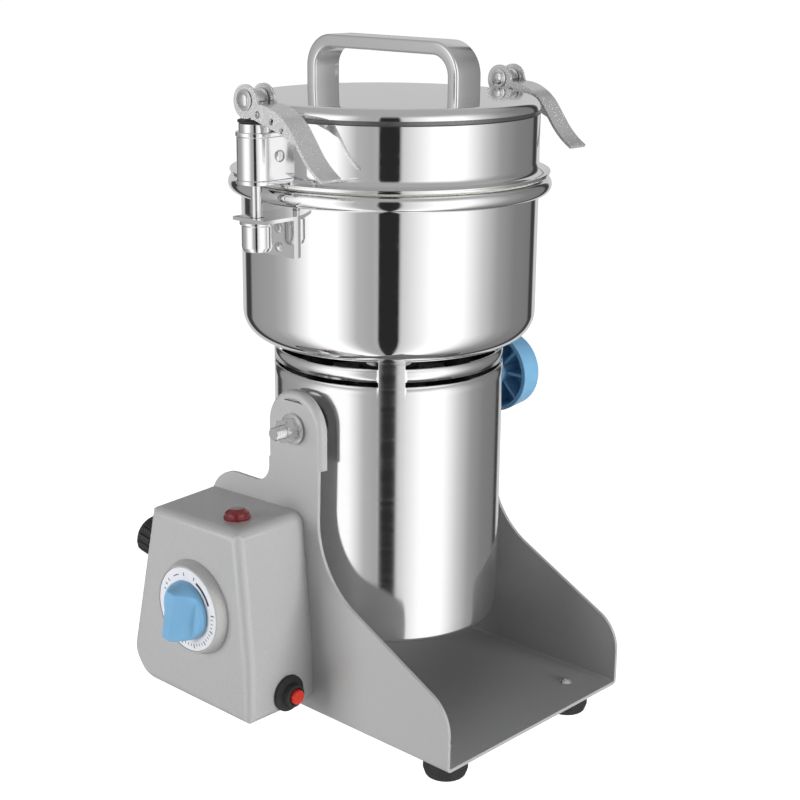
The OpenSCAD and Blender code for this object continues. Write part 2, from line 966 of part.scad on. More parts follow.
// Rocker switch on the back of the box
frame_t = 2.6;
switch_depth = 14;
pocket_w = switch_body_w - 2 * switch_lap;
pocket_h = switch_body_h - switch_lap;
pocket_d = 5;
rocker_turn = 11;
rocker_pin_r = 1;
rocker_side = 0.4;
rocker_shares = [[0.26, 0], [0.56, 0.94], [0.2, 0.86], [-0.3, 0.6],
    [-0.3, -0.6], [0.2, -0.86], [0.56, -0.94]];

module switch_frame() {
    color([0.07, 0.07, 0.08]) placed()
        on_back(switch_x, switch_z)
            difference() {
                union() {
                    translate([-switch_w / 2, 0, -switch_h / 2])
                        cube([switch_w, frame_t, switch_h]);
                    translate([-switch_body_w / 2, -switch_depth, -switch_body_h / 2])
                        cube([switch_body_w, switch_depth + over, switch_body_h]);
                }
                translate([-pocket_w / 2, -pocket_d, -pocket_h / 2])
                    cube([pocket_w, pocket_d + frame_t + over, pocket_h]);
                rod_x(rocker_pin_r + fit, -pocket_w / 2 - rocker_pin_r, pocket_w / 2 + rocker_pin_r);
            }
}

module switch_rocker() {
    half = pocket_h / 2;
    wide = pocket_w / 2;
    color([0.09, 0.09, 0.1]) placed()
        on_back(switch_x, switch_z)
            rotate([rocker_turn, 0, 0]) {
                along_x(rocker_side - wide, wide - rocker_side)
                    polygon([for (share = rocker_shares) [share[0] * half, share[1] * half]]);
                rod_x(rocker_pin_r, fit - wide - rocker_pin_r, wide + rocker_pin_r - fit);
            }
}

// Cable gland on the back of the box
gland_base_h = 4;
gland_nut_h = 12;
gland_ribs = 16;
gland_rib_r = 1.1;
gland_shoulder = 2.4;

module gland_body() {
    color([0.08, 0.08, 0.08]) placed()
        on_back(gland_x, gland_z)
            difference() {
                union() {
                    rod_y(gland_r, 0, gland_base_h);
                    rod_y(gland_neck_r, -box_wall - 2 * gland_base_h, gland_base_h + gland_nut_h / 2);
                    rotate([90, 0, 0])
                        translate([0, 0, box_wall])
                            cylinder(r = gland_r, h = gland_base_h, $fn = 6);
                }
                rod_y(gland_bore_r, -box_wall - 3 * gland_base_h, gland_base_h + gland_nut_h);
            }
}

module gland_nut() {
    low = gland_base_h + face_gap;
    high = gland_base_h + gland_nut_h;
    color([0.06, 0.06, 0.06]) placed()
        on_back(gland_x, gland_z)
            difference() {
                union() {
                    rod_y(gland_r, low, high - gland_shoulder);
                    translate([0, high - gland_shoulder, 0])
                        rotate([-90, 0, 0])
                            cylinder(r1 = gland_r, r2 = gland_r - gland_shoulder, h = gland_shoulder);
                }
                for (rib = [1 : gland_ribs])
                    rotate([0, rib * 360 / gland_ribs, 0])
                        translate([gland_r, 0, 0])
                            rod_y(gland_rib_r, low - over, high + over);
                rod_y(gland_neck_r, 0, gland_base_h + gland_nut_h / 2);
                rod_y(gland_bore_r, 0, high + over);
            }
}

// Motor
bolt_r = 2;
bolt_ring = (stator_r + barrel_in_r) / 2;
quarters = [45 : 90 : 315];
cover_t = 2;
vent_r = 4;
vent_ring = 46;
shield_t = 6;
shield_hub_t = 4;
shield_hub_r = bearing_r + shield_hub_t;
shield_step = 2;
shaft_hole_r = bearing_r * 0.65;
post_r = 7;
post_ring = 40;
bowl_screw_r = 2.2;
bowl_screw_len = 22;
slot_top_z = bowl_low_z - slot_high_h - slot_band;

module around(ring) {
    for (angle = quarters)
        rotate([0, 0, angle])
            translate([ring, 0, 0])
                children();
}

// Ring of the barrel between two heights, with the four bridges kept
module vent_slot(z0, z1) {
    difference() {
        tube_z(barrel_r + over, barrel_in_r - over, z0, z1);
        for (angle = quarters)
            rotate([0, 0, angle])
                translate([0, -bridge_w / 2, z0 - over])
                    cube([2 * barrel_r, bridge_w, z1 - z0 + 2 * over]);
    }
}

module motor_barrel() {
    low = barrel_low_z + barrel_edge_r;
    color([0.72, 0.73, 0.74]) placed()
        difference() {
            union() {
                tube_z(barrel_r, barrel_in_r, low, bowl_low_z);
                rotate_extrude()
                    translate([barrel_r - barrel_edge_r, low])
                        intersection() {
                            difference() {
                                circle(barrel_edge_r);
                                circle(barrel_edge_r - barrel_wall);
                            }
                            translate([0, -barrel_edge_r])
                                square(barrel_edge_r);
                        }
            }
            vent_slot(bowl_low_z - slot_high_h, bowl_low_z + over);
            vent_slot(slot_top_z - slot_low_h, slot_top_z);
            at_pivot()
                rod_x(stud_r, -barrel_r - over, barrel_r + over);
        }
}

module barrel_bottom() {
    low = barrel_low_z + barrel_edge_r;
    color([0.3, 0.3, 0.31]) placed()
        difference() {
            rod_z(barrel_in_r, low, low + cover_t);
            around(bolt_ring)
                rod_z(bolt_r, low - over, low + cover_t + over);
            for (spot = [1 : 3 * fan_blades])
                rotate([0, 0, spot * 10])
                    translate([vent_ring - (spot % 3) * 3 * vent_r, 0, 0])
                        rod_z(vent_r * 0.75, low - over, low + cover_t + over);
        }
}

module bottom_screws() {
    low = barrel_low_z + barrel_edge_r;
    color([0.7, 0.7, 0.71]) placed()
        around(bolt_ring) {
            rod_z(bolt_r, low, upper_bearing_z + shield_t / 2);
            translate([0, 0, low])
                mirror([0, 0, 1])
                    dome(1.5 * bolt_r, bolt_r);
        }
}

module stator_core() {
    color([0.35, 0.35, 0.37]) placed()
        difference() {
            union() {
                rod_z(stator_r, stator_z, stator_z + stator_h);
                around(bolt_ring)
                    rod_z(barrel_in_r - bolt_ring - face_gap, stator_z, stator_z + stator_h);
            }
            rod_z(stator_bore_r, stator_z - over, stator_z + stator_h + over);
            around(bolt_ring)
                rod_z(bolt_r, stator_z - over, stator_z + stator_h + over);
            coil_legs(stator_z - over, stator_z + stator_h + over);
        }
}

coil_set = 3;
coil_in_r = stator_bore_r + coil_set;
coil_out_r = stator_r - coil_set;
coil_leg = [10, 16];

module coil_legs(z0, z1) {
    for (angle = [0 : 90 : 270])
        rotate([0, 0, angle])
            translate([coil_in_r, -coil_leg[1] / 2, z0])
                cube([coil_leg[0], coil_leg[1], z1 - z0]);
}

module coil_ring(z0) {
    edge = winding_h / 3;
    low = [coil_in_r, z0];
    low_out = [coil_out_r, z0];
    high = [coil_in_r, z0 + winding_h];
    high_out = [coil_out_r, z0 + winding_h];
    rotate_extrude()
        difference() {
            polygon([low, low_out, high_out, high]);
            corner(high_out, low_out, low, edge);
            corner(low_out, high_out, high, edge);
            corner(low, high, high_out, edge);
            corner(high, low, low_out, edge);
        }
}

module field_windings() {
    color([0.66, 0.36, 0.16]) placed() {
        coil_ring(stator_z - winding_h);
        coil_ring(stator_z + stator_h);
        coil_legs(stator_z - over, stator_z + stator_h + over);
    }
}

module lower_shield() {
    low = lower_bearing_z - shield_step;
    color([0.6, 0.61, 0.62]) placed()
        difference() {
            union() {
                rod_z(barrel_in_r, low, low + shield_t);
                rod_z(shield_hub_r, low, lower_bearing_z + bearing_h + over);
            }
            rod_z(shaft_hole_r, low - over, lower_bearing_z + over);
            rod_z(bearing_r, lower_bearing_z, lower_bearing_z + bearing_h + 2 * over);
            around(bolt_ring)
                rod_z(bolt_r, low - over, low + shield_t + over);
            for (spot = [1 : 8])
                rotate([0, 0, spot * 45])
                    translate([vent_ring - 2 * vent_r, 0, 0])
                        rod_z(2 * vent_r, low - over, low + shield_t + over);
        }
}

module upper_shield() {
    low = upper_bearing_z - shield_step;
    color([0.6, 0.61, 0.62]) placed()
        difference() {
            union() {
                rod_z(barrel_in_r, low, low + shield_t);
                rod_z(shield_hub_r, low, upper_bearing_z + bearing_h + over);
                around(post_ring)
                    rod_z(post_r, low, bowl_low_z);
            }
            rod_z(shaft_hole_r, low - over, upper_bearing_z + over);
            rod_z(bearing_r, upper_bearing_z, upper_bearing_z + bearing_h + 2 * over);
            around(bolt_ring)
                rod_z(bolt_r, low - over, upper_bearing_z + shield_t / 2);
            around(post_ring)
                rod_z(bowl_screw_r, floor_top_z - bowl_screw_len, bowl_low_z + over);
            for (spot = [1 : 4])
                rotate([0, 0, spot * 90])
                    translate([post_ring, 0, 0])
                        rod_z(2 * vent_r, low - over, low + shield_t + over);
        }
}

module bearings() {
    color([0.8, 0.8, 0.82]) placed()
        for (z = [lower_bearing_z, upper_bearing_z])
            tube_z(bearing_r, shaft_r + fit, z, z + bearing_h);
}

brush_w = 8;
brush_h = 10;
brush_z = 109;
commutator_r = 14;
commutator_z = 106;
commutator_h = 16;
brush_ring_r = 44;
brush_ring_bore = 34;
brush_post_r = 3;

module brush_gear() {
    shield_top = lower_bearing_z - shield_step + shield_t;
    mid = brush_z + brush_h / 2;
    color([0.15, 0.15, 0.15]) placed() {
        difference() {
            tube_z(brush_ring_r, brush_ring_bore, brush_z, brush_z + brush_h / 2);
            at_brushes()
                translate([0, -brush_w / 2, brush_z - over])
                    cube([brush_ring_r * 2, brush_w, brush_h]);
        }
        at_brushes()
            difference() {
                translate([commutator_r + face_gap, -brush_w / 2, brush_z])
                    cube([brush_ring_r - commutator_r - face_gap, brush_w, brush_h]);
                rod_z(commutator_r + face_gap, mid - brush_h, mid + brush_h);
            }
        for (angle = [0 : 90 : 270])
            rotate([0, 0, angle + 22.5])
                translate([(brush_ring_r + brush_ring_bore) / 2, 0, 0])
                    rod_z(brush_post_r, shield_top, brush_z);
    }
}

module at_brushes() {
    for (angle = [90, 270])
        rotate([0, 0, angle])
            children();
}

// Turning parts
shaft_low_z = 68;
shaft_top_z = 263;
armature_r = stator_bore_r - air_gap;
armature_inset = 1;
armature_coil_r = armature_r * 0.78;
fan_z = 72;
fan_plate_t = 1.6;
fan_blade_t = 1.4;
fan_hub_r = 11;
blade_low_z = 244;
blade_step = 7;
blade_hub_r = 11;
blade_nut_h = 7;
hub_low_z = 241;
hub_top_z = blade_low_z + blade_step + blade_t;

module rotor_shaft() {
    color([0.8, 0.8, 0.82]) placed()
        rod_z(shaft_r, shaft_low_z, shaft_top_z);
}

module armature() {
    low = stator_z + armature_inset;
    high = stator_z + stator_h - armature_inset;
    color([0.5, 0.33, 0.2]) placed()
        difference() {
            union() {
                rod_z(armature_r, low, high);
                rod_z(armature_coil_r, low - winding_h, high + winding_h);
            }
            rod_z(shaft_r, low - 2 * winding_h, high + 2 * winding_h);
        }
}

module commutator() {
    color([0.72, 0.45, 0.25]) placed()
        tube_z(commutator_r, shaft_r, commutator_z, commutator_z + commutator_h);
}

module cooling_fan() {
    color([0.2, 0.2, 0.22]) placed()
        difference() {
            union() {
                rod_z(fan_r, fan_z + fan_h, fan_z + fan_h + fan_plate_t);
                rod_z(fan_hub_r, fan_z, fan_z + fan_h + over);
                for (spot = [1 : fan_blades])
                    rotate([0, 0, spot * 360 / fan_blades])
                        translate([fan_hub_r - over, -fan_blade_t / 2, fan_z])
                            cube([fan_r - fan_hub_r - over, fan_blade_t, fan_h + over]);
            }
            rod_z(shaft_r, fan_z - over, fan_z + fan_h + fan_plate_t + over);
        }
}

module blade_hub() {
    color([0.78, 0.79, 0.8]) placed() {
        tube_z(blade_hub_r, shaft_r, hub_low_z, blade_low_z);
        tube_z(blade_hub_r, shaft_r, blade_low_z + blade_t, blade_low_z + blade_step);
    }
}

blade_shares = [[-1, -0.18], [-0.93, -0.5], [-0.3, -0.5], [0.3, -0.5], [0.93, -0.36],
    [1, 0.18], [0.93, 0.5], [0.3, 0.5], [-0.3, 0.5], [-0.93, 0.36]];

module blade(z) {
    difference() {
        translate([0, 0, z])
            linear_extrude(blade_t)
                polygon([for (share = blade_shares) [share[0] * blade_reach, share[1] * blade_w]]);
        rod_z(shaft_r, z - over, z + blade_t + over);
    }
}

module blades() {
    color([0.82, 0.83, 0.84]) placed() {
        blade(blade_low_z);
        rotate([0, 0, 90])
            blade(blade_low_z + blade_step);
    }
}

module blade_nut() {
    color([0.75, 0.75, 0.76]) placed()
        difference() {
            translate([0, 0, hub_top_z])
                cylinder(r = 1.7 * shaft_r, h = blade_nut_h, $fn = 6);
            rod_z(shaft_r, hub_top_z - over, hub_top_z + blade_nut_h + over);
        }
}

// Bowl
floor_top_z = bowl_low_z + floor_t;
bowl_in_r = bowl_r - bowl_wall;
bowl_in_corner = bowl_corner_r - bowl_wall;
floor_hole_r = bearing_r;
floor_r = bowl_r - bowl_corner_r;
rim_edge_r = rim_h / 2;
rim_low_z = bowl_top_z - rim_h;
seal_r = 20;
seal_rise = 6;
seal_nose_r = 12;

module round_bar(low, high, r_low, r_high) {
    difference() {
        polygon([low, [high[0], low[1]], high, [low[0], high[1]]]);
        corner(low, [high[0], low[1]], high, r_low);
        corner([high[0], low[1]], high, [low[0], high[1]], r_high);
    }
}

module bowl() {
    color([0.8, 0.81, 0.82]) placed()
        difference() {
            rotate_extrude() {
                difference() {
                    round_bar([0, bowl_low_z], [bowl_r, bowl_top_z + over], bowl_corner_r, over / 2);
                    round_bar([-over, bowl_low_z + bowl_wall], [bowl_in_r, bowl_top_z + 4 * over],
                        bowl_in_corner, over);
                    translate([-over, bowl_top_z])
                        square([2 * bowl_r, 4 * over]);
                }
                translate([0, bowl_low_z])
                    square([floor_r, floor_t]);
                difference() {
                    round_bar([bowl_in_r, rim_low_z], [rim_r, bowl_top_z],
                        rim_edge_r - fit, rim_edge_r - fit);
                    translate([bowl_in_r, rim_low_z])
                        round_bar([bowl_wall, bowl_wall],
                            [rim_r - bowl_in_r - bowl_wall, rim_h - bowl_wall],
                            rim_edge_r - bowl_wall - fit, rim_edge_r - bowl_wall - fit);
                    translate([bowl_r, rim_low_z - over])
                        square([bowl_wall, bowl_wall + 2 * over]);
                }
            }
            rod_z(floor_hole_r, bowl_low_z - over, floor_top_z + over);
            around(post_ring)
                rod_z(bowl_screw_r, bowl_low_z - over, floor_top_z + over);
            both_sides()
                for (z = rivet_heights)
                    translate([0, 0, z])
                        rod_x(rivet_r, -bowl_r - over, 0);
        }
}

module bowl_screws() {
    color([0.75, 0.75, 0.76]) placed()
        around(post_ring) {
            rod_z(bowl_screw_r, floor_top_z - bowl_screw_len, floor_top_z);
            translate([0, 0, floor_top_z])
                dome(2 * bowl_screw_r, bowl_screw_r);
        }
}

module shaft_seal() {
    color([0.2, 0.2, 0.21]) placed()
        difference() {
            rotate_extrude()
                polygon([[0, bowl_low_z], [floor_hole_r, bowl_low_z], [floor_hole_r, floor_top_z],
                    [seal_r, floor_top_z], [seal_r, floor_top_z + seal_rise / 3],
                    [seal_nose_r, floor_top_z + seal_rise], [0, floor_top_z + seal_rise]]);
            rod_z(shaft_r + fit, bowl_low_z - over, floor_top_z + seal_rise + over);
        }
}

// Catches on the bowl
plate_t = 2;
rivet_r = 1.6;
rivet_head_r = 2.6;
rivet_head_h = 1.5;
rivet_heights = [ledge_z - bracket_h / 3, ledge_z - bracket_h * 0.78];
ledge_reach = 6.1;
ledge_hole_r = rod_r * 1.2;
ledge_low_z = ledge_z - ledge_t;
socket_low_z = ledge_low_z - socket_h;
socket_lip_h = 1.5;
socket_lip_r = socket_r + 1;
socket_floor = 3.2;

module catch_brackets() {
    color([0.74, 0.75, 0.76]) placed()
        both_sides()
            difference() {
                union() {
                    translate([-bowl_r - plate_t, -ledge_w / 2, ledge_z - bracket_h])
                        cube([2 * plate_t, ledge_w, bracket_h]);
                    translate([-latch_x - ledge_reach, -ledge_w / 2, ledge_low_z])
                        cube([latch_x + ledge_reach - bowl_r + plate_t, ledge_w, ledge_t]);
                }
                rod_z(bowl_r, ledge_z - 2 * bracket_h, ledge_z + over, $fn = 180);
                translate([-latch_x, 0, 0])
                    rod_z(ledge_hole_r, ledge_low_z - over, ledge_z + over);
                for (z = rivet_heights)
                    translate([0, 0, z])
                        rod_x(rivet_r, -bowl_r - 2 * plate_t, 0);
            }
}

module catch_sockets() {
    color([0.7, 0.71, 0.72]) placed()
        both_sides()
            translate([-latch_x, 0, 0])
                difference() {
                    union() {
                        rod_z(socket_r, socket_low_z, ledge_low_z);
                        rod_z(socket_lip_r, ledge_low_z - socket_lip_h, ledge_low_z);
                    }
                    rod_z(rod_r + fit, socket_low_z + socket_floor, ledge_low_z + over);
                }
}

module catch_rivets() {
    color([0.78, 0.78, 0.79]) placed()
        both_sides()
            for (z = rivet_heights)
                translate([-bowl_r - plate_t, 0, z]) {
                    rod_x(rivet_r, 0, plate_t + bowl_wall);
                    rotate([0, -90, 0])
                        dome(rivet_head_r, rivet_head_h);
                }
}

// Lid
seal_top_z = bowl_top_z + seal_t;
brim_top_z = seal_top_z + lid_sheet;
flange_top_z = brim_top_z + lid_sheet;
flare_r = lid_flange_r - lid_r - lid_sheet / 2;
pan_gap = 1.3;
pan_r = bowl_in_r - pan_gap;
pan_low_z = seal_top_z - pan_drop;
pan_edge_r = 3;
brim_r = lid_flange_r - lid_sheet / 2;
seal_in_r = bowl_in_r + face_gap;
cap_h = 8;
groove_z = lid_top_z - cap_h;
groove_h = 1.6;
groove_d = lid_sheet;
flange_edge_r = lid_sheet / 3;
leg_y = handle_l / 2 - handle_t / 2;
leg_screw_x = handle_w / 4;
leg_screw_r = 2;
leg_screw_len = 12;

module lid_outline() {
    side_top = [lid_r, lid_top_z];
    side_low = [lid_r, flange_top_z];
    difference() {
        union() {
            polygon([[0, brim_top_z], [lid_r, brim_top_z], side_top, [0, lid_top_z]]);
            round_bar([0, brim_top_z], [lid_flange_r, flange_top_z], fit, flange_edge_r);
            corner(side_top, side_low, [lid_flange_r, flange_top_z], flare_r);
        }
        corner(side_low, side_top, [0, lid_top_z], lid_edge_r);
    }
}

module lid_hollow() {
    in_r = lid_r - lid_sheet;
    in_top = [in_r, lid_top_z - lid_sheet];
    in_low = [in_r, flange_top_z - lid_sheet];
    flange_in = lid_flange_r - lid_sheet / 2;
    difference() {
        union() {
            polygon([[0, brim_top_z - over], [in_r, brim_top_z - over], in_top, [0, in_top[1]]]);
            corner(in_top, in_low, [flange_in, in_low[1]], flare_r + lid_sheet);
        }
        corner(in_low, in_top, [0, in_top[1]], lid_edge_r - lid_sheet);
    }
}

module lid_shell() {
    color([0.8, 0.81, 0.82]) placed()
        difference() {
            rotate_extrude()
                difference() {
                    union() {
                        difference() {
                            lid_outline();
                            lid_hollow();
                        }
                        translate([lid_r - 2 * lid_sheet, groove_z - lid_sheet])
                            square([lid_sheet, groove_h + 2 * lid_sheet]);
                    }
                    translate([lid_r - groove_d, groove_z])
                        square([groove_d + over, groove_h]);
                }
            at_legs()
                rod_z(leg_screw_r, lid_top_z - lid_sheet - over, lid_top_z + over);
        }
}

module lid_pan() {
    brim_low = [pan_r, seal_top_z];
    color([0.78, 0.79, 0.8]) placed()
        rotate_extrude() {
            difference() {
                round_bar([0, pan_low_z], [pan_r, brim_top_z], pan_edge_r, fit);
                round_bar([-over, pan_low_z + lid_sheet], [pan_r - lid_sheet, brim_top_z + 2 * over],
                    pan_edge_r - lid_sheet, fit);
            }
            translate([pan_r - lid_sheet, seal_top_z])
                square([brim_r - pan_r + lid_sheet, lid_sheet]);
        }
}

module lid_seal() {
    color([0.75, 0.74, 0.7]) placed()
        tube_z(rim_r - rim_edge_r, seal_in_r, bowl_top_z, seal_top_z);
}

module at_legs() {
    for (x = [-leg_screw_x, leg_screw_x])
        for (y = [-leg_y, leg_y])
            translate([x, y, 0])
                children();
}

module handle_outline() {
    low = [-handle_l / 2, lid_top_z];
    top = [-handle_l / 2, handle_top_z];
    in_low = [-handle_l / 2 + handle_t, lid_top_z - over];
    in_top = [-handle_l / 2 + handle_t, handle_top_z - handle_t];
    difference() {
        translate(low)
            square([handle_l, handle_top_z - lid_top_z]);
        difference() {
            translate(in_low)
                square([handle_l - 2 * handle_t, in_top[1] - in_low[1]]);
            for (side = [0, 1])
                mirror([side, 0])
                    corner(in_low, in_top, [0, in_top[1]], handle_bend - handle_t);
        }
        for (side = [0, 1])
            mirror([side, 0])
                corner(low, top, [0, handle_top_z], handle_bend);
    }
}

module lid_handle() {
    color([0.8, 0.8, 0.81]) placed()
        difference() {
            along_x(-handle_w / 2, handle_w / 2)
                handle_outline();
            at_legs()
                rod_z(leg_screw_r, lid_top_z - over, lid_top_z + leg_screw_len);
        }
}

module handle_screws() {
    color([0.75, 0.75, 0.76]) placed()
        at_legs() {
            rod_z(leg_screw_r, lid_top_z - lid_sheet, lid_top_z + leg_screw_len);
            translate([0, 0, lid_top_z - lid_sheet])
                mirror([0, 0, 1])
                    dome(2 * leg_screw_r, leg_screw_r);
        }
}

// Latches on the lid
tube_top_z = pin_z - cam_throw - eye_r - cam_gap - latch_washer_t;
strap_lip = 0.5;
strap_lip_h = 2.2;
latch_washer_r = tube_r + strap_lip;
strap_rivet_z = strap_z + strap_h * 0.54;
strap_rivet_head_r = 3.3;

module strap_plan(lip) {
    r = tube_r + strap_t + lip;
    difference() {
        union() {
            translate([-latch_x, 0])
                circle(r);
            translate([-latch_x, -r])
                square([latch_x, 2 * r]);
        }
        translate([-latch_x, 0])
            circle(tube_r);
        translate([-latch_x, -tube_r])
            square([latch_x + over, 2 * tube_r]);
    }
}

module latch_straps() {
    color([0.74, 0.75, 0.76]) placed()
        both_sides()
            difference() {
                union() {
                    translate([0, 0, strap_z])
                        linear_extrude(strap_h)
                            strap_plan(0);
                    for (z = [strap_z, strap_z + strap_h - strap_lip_h])
                        translate([0, 0, z])
                            linear_extrude(strap_lip_h)
                                strap_plan(strap_lip);
                }
                rotate_extrude()
                    lid_outline();
                translate([-strap_rivet_x, 0, strap_rivet_z])
                    rod_y(rivet_r, -2 * tube_r, 2 * tube_r);
            }
}

module latch_tubes() {
    color([0.78, 0.79, 0.8]) placed()
        both_sides()
            translate([-latch_x, 0, 0])
                tube_z(tube_r, rod_r + fit, strap_z, tube_top_z);
}

module latch_washers() {
    color([0.08, 0.08, 0.09]) placed()
        both_sides()
            translate([-latch_x, 0, 0])
                tube_z(latch_washer_r, rod_r + fit, tube_top_z, tube_top_z + latch_washer_t);
}

module strap_rivets() {
    color([0.78, 0.78, 0.79]) placed()
        both_sides()
            for (side = [0, 1])
                mirror([0, side, 0])
                    translate([-strap_rivet_x, -tube_r - strap_t, strap_rivet_z]) {
                        rod_y(rivet_r, 0, strap_t);
                        rotate([90, 0, 0])
                            dome(strap_rivet_head_r, rivet_head_h);
                    }
}

// Rods and levers of the latches
pin_r = 2.5;
pin_head_r = 3.7;
pin_head_h = 1.5;
pin_washer_r = 5.5;
pin_washer_t = 0.6;
rod_head_r = 5.5;
rod_travel = 1.4;
cheek_in = lever_w / 2 - lever_t;
rod_head_half = cheek_in - cam_gap;
pin_half = lever_w / 2 + face_gap + pin_washer_t;
rod_low_z = socket_low_z + socket_floor + rod_travel + face_gap;

module latch_rod() {
    rod_z(rod_r, rod_low_z, pin_z);
    translate([0, 0, pin_z]) {
        rod_x(rod_head_r, -rod_head_half, rod_head_half);
        rod_x(pin_r, -pin_half, pin_half);
        both_sides() {
            rod_x(pin_washer_r, -pin_half, pin_washer_t - pin_half);
            translate([-pin_half, 0, 0])
                rotate([0, -90, 0])
                    dome(pin_head_r, pin_head_h);
        }
    }
}

module rod_left() {
    color([0.72, 0.73, 0.74]) placed()
        translate([-latch_x, 0, 0])
            latch_rod();
}

module rod_right() {
    color([0.72, 0.73, 0.74]) placed()
        translate([latch_x, 0, 0])
            latch_rod();
}

// The lever in Y and Z from its pin: arc over the top, straight run, arc out to the tip
top_angle_end = 143;
tip_angle_end = 300;
top_centre = [-lever_start, -lever_drop - lever_out_r];
run_way = [cos(top_angle_end + 90), sin(top_angle_end + 90)];
run_from = top_centre + lever_out_r * [cos(top_angle_end), sin(top_angle_end)];
run_to = run_from + lever_run * run_way;
tip_centre = run_to - lever_in_r * [cos(top_angle_end + 180), sin(top_angle_end + 180)];
cheek_shares = [[-0.52, -1.02], [-1.47, -1.31], [-2.32, -1.53], [-3.33, -1.87],
    [-3.83, -2.12], [-4.27, -2.3]];
hole_shares = [[-1.06, -0.77], [-2.23, -1.08], [-3.09, -1.53]];
hole_size_shares = [0.22, 0.19, 0.16];
eye_side = 150;
eye_in_r = eye_r - lever_t / 2;

module arc_band(centre, r, a0, a1) {
    far = 2 * r;
    mid = (a0 + a1) / 2;
    translate(centre)
        intersection() {
            difference() {
                circle(r + lever_t / 2);
                circle(r - lever_t / 2);
            }
            polygon([[0, 0], far * [cos(a0), sin(a0)], far * [cos(mid), sin(mid)],
                far * [cos(a1), sin(a1)]]);
        }
}

module blade_band() {
    side = lever_t / 2 * [run_way[1], -run_way[0]];
    arc_band(top_centre, lever_out_r, 90, top_angle_end);
    polygon([run_from - side, run_from + side, run_to + side, run_to - side]);
    arc_band(tip_centre, lever_in_r, tip_angle_end, top_angle_end + 180);
}

module cheek_outline() {
    start = top_centre + [0, lever_out_r + lever_t / 2];
    low = [for (share = cheek_shares) share * eye_r];
    difference() {
        union() {
            translate([0, -cam_throw])
                circle(eye_r);
            intersection() {
                union() {
                    translate(top_centre)
                        circle(lever_out_r + lever_t / 2);
                    polygon([[0, -cam_throw], eye_in_r * [cos(eye_side), sin(eye_side)] - [0, cam_throw],
                        start, start - [0, eye_r]]);
                }
                polygon(concat([[0, 0], [0, eye_r], [2 * tip_centre[0], eye_r], low[5] - [eye_r, 0]],
                    [for (i = [5 : -1 : 0]) low[i]]));
            }
        }
        circle(pin_r + fit);
        for (i = [0 : 2])
            translate(hole_shares[i] * eye_r)
                circle(hole_size_shares[i] * eye_r);
    }
}

module latch_lever() {
    translate([0, 0, pin_z]) {
        along_x(-lever_w / 2, lever_w / 2)
            blade_band();
        both_sides()
            along_x(-lever_w / 2, -cheek_in)
                cheek_outline();
    }
}

module lever_left() {
    color([0.76, 0.77, 0.78]) placed()
        translate([-latch_x, 0, 0])
            latch_lever();
}

module lever_right() {
    color([0.76, 0.77, 0.78]) placed()
        translate([latch_x, 0, 0])
            latch_lever();
}

cradle();
feet();
foot_screws();
pivot_bushes();
control_cover();
cover_screws();
timer_body();
timer_ring();
timer_dial();
timer_knob();
lamp_body();
lamp_lens();
reset_breaker();
reset_collar();
reset_button();
switch_frame();
switch_rocker();
gland_body();
gland_nut();
motor_barrel();
barrel_bottom();
bottom_screws();
pivot_bosses();
pivot_studs();
pivot_nut();
lock_knob();
stator_core();
field_windings();
lower_shield();
upper_shield();
bearings();
brush_gear();
bowl();
bowl_screws();
shaft_seal();
catch_brackets();
catch_sockets();
catch_rivets();
rotor_shaft();
armature();
commutator();
cooling_fan();
blade_hub();
blades();
blade_nut();
lid_shell();
lid_pan();
lid_seal();
lid_handle();
handle_screws();
latch_straps();
latch_tubes();
latch_washers();
strap_rivets();
rod_left();
rod_right();
lever_left();
lever_right();
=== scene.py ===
import math

import bmesh
import bpy
import numpy as np
from mathutils import Matrix, Vector


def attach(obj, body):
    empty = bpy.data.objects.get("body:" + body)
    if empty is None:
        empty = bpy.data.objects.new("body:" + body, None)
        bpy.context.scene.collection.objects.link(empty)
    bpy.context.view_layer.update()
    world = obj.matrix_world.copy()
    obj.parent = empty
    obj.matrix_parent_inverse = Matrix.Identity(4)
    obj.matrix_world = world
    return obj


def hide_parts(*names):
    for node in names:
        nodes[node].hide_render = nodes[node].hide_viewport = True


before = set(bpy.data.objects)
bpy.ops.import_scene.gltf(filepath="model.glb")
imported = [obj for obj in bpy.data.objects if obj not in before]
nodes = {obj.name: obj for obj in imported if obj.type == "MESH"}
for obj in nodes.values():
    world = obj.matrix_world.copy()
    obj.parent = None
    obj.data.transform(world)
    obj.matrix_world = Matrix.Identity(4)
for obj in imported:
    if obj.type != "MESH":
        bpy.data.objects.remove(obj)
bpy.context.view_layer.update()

mm = 0.001
home = np.array([16.25, 14.5, 0.0])  # bowl axis in the part's frame, in mm
print("frame loaded:", len(nodes), "nodes")


# Shapes as arrays of points in mm and lists of faces

def roundedLine(points, radii, turns=10):
    # Corner i becomes an arc of radius r: it starts r / tan(half) before the corner,
    # and its centre lies r / sin(half) along the bisector
    out = []
    pts = [np.array(p, float) for p in points]
    for i, (p, r) in enumerate(zip(pts, radii)):
        if r <= 0:
            out.append(p[None])
            continue
        u = pts[i - 1] - p
        w = pts[(i + 1) % len(pts)] - p
        u, w = u / np.linalg.norm(u), w / np.linalg.norm(w)
        half = math.acos(np.clip(u @ w, -1, 1)) / 2
        mid = (u + w) / np.linalg.norm(u + w)
        centre = p + mid * r / math.sin(half)
        a = p + u * r / math.tan(half) - centre
        b = p + w * r / math.tan(half) - centre
        t = np.linspace(0, 1, turns + 1)[:, None]
        swing = math.pi - 2 * half
        arc = (np.sin((1 - t) * swing) * a + np.sin(t * swing) * b) / math.sin(swing)
        out.append(centre + arc)
    return np.concatenate(out)


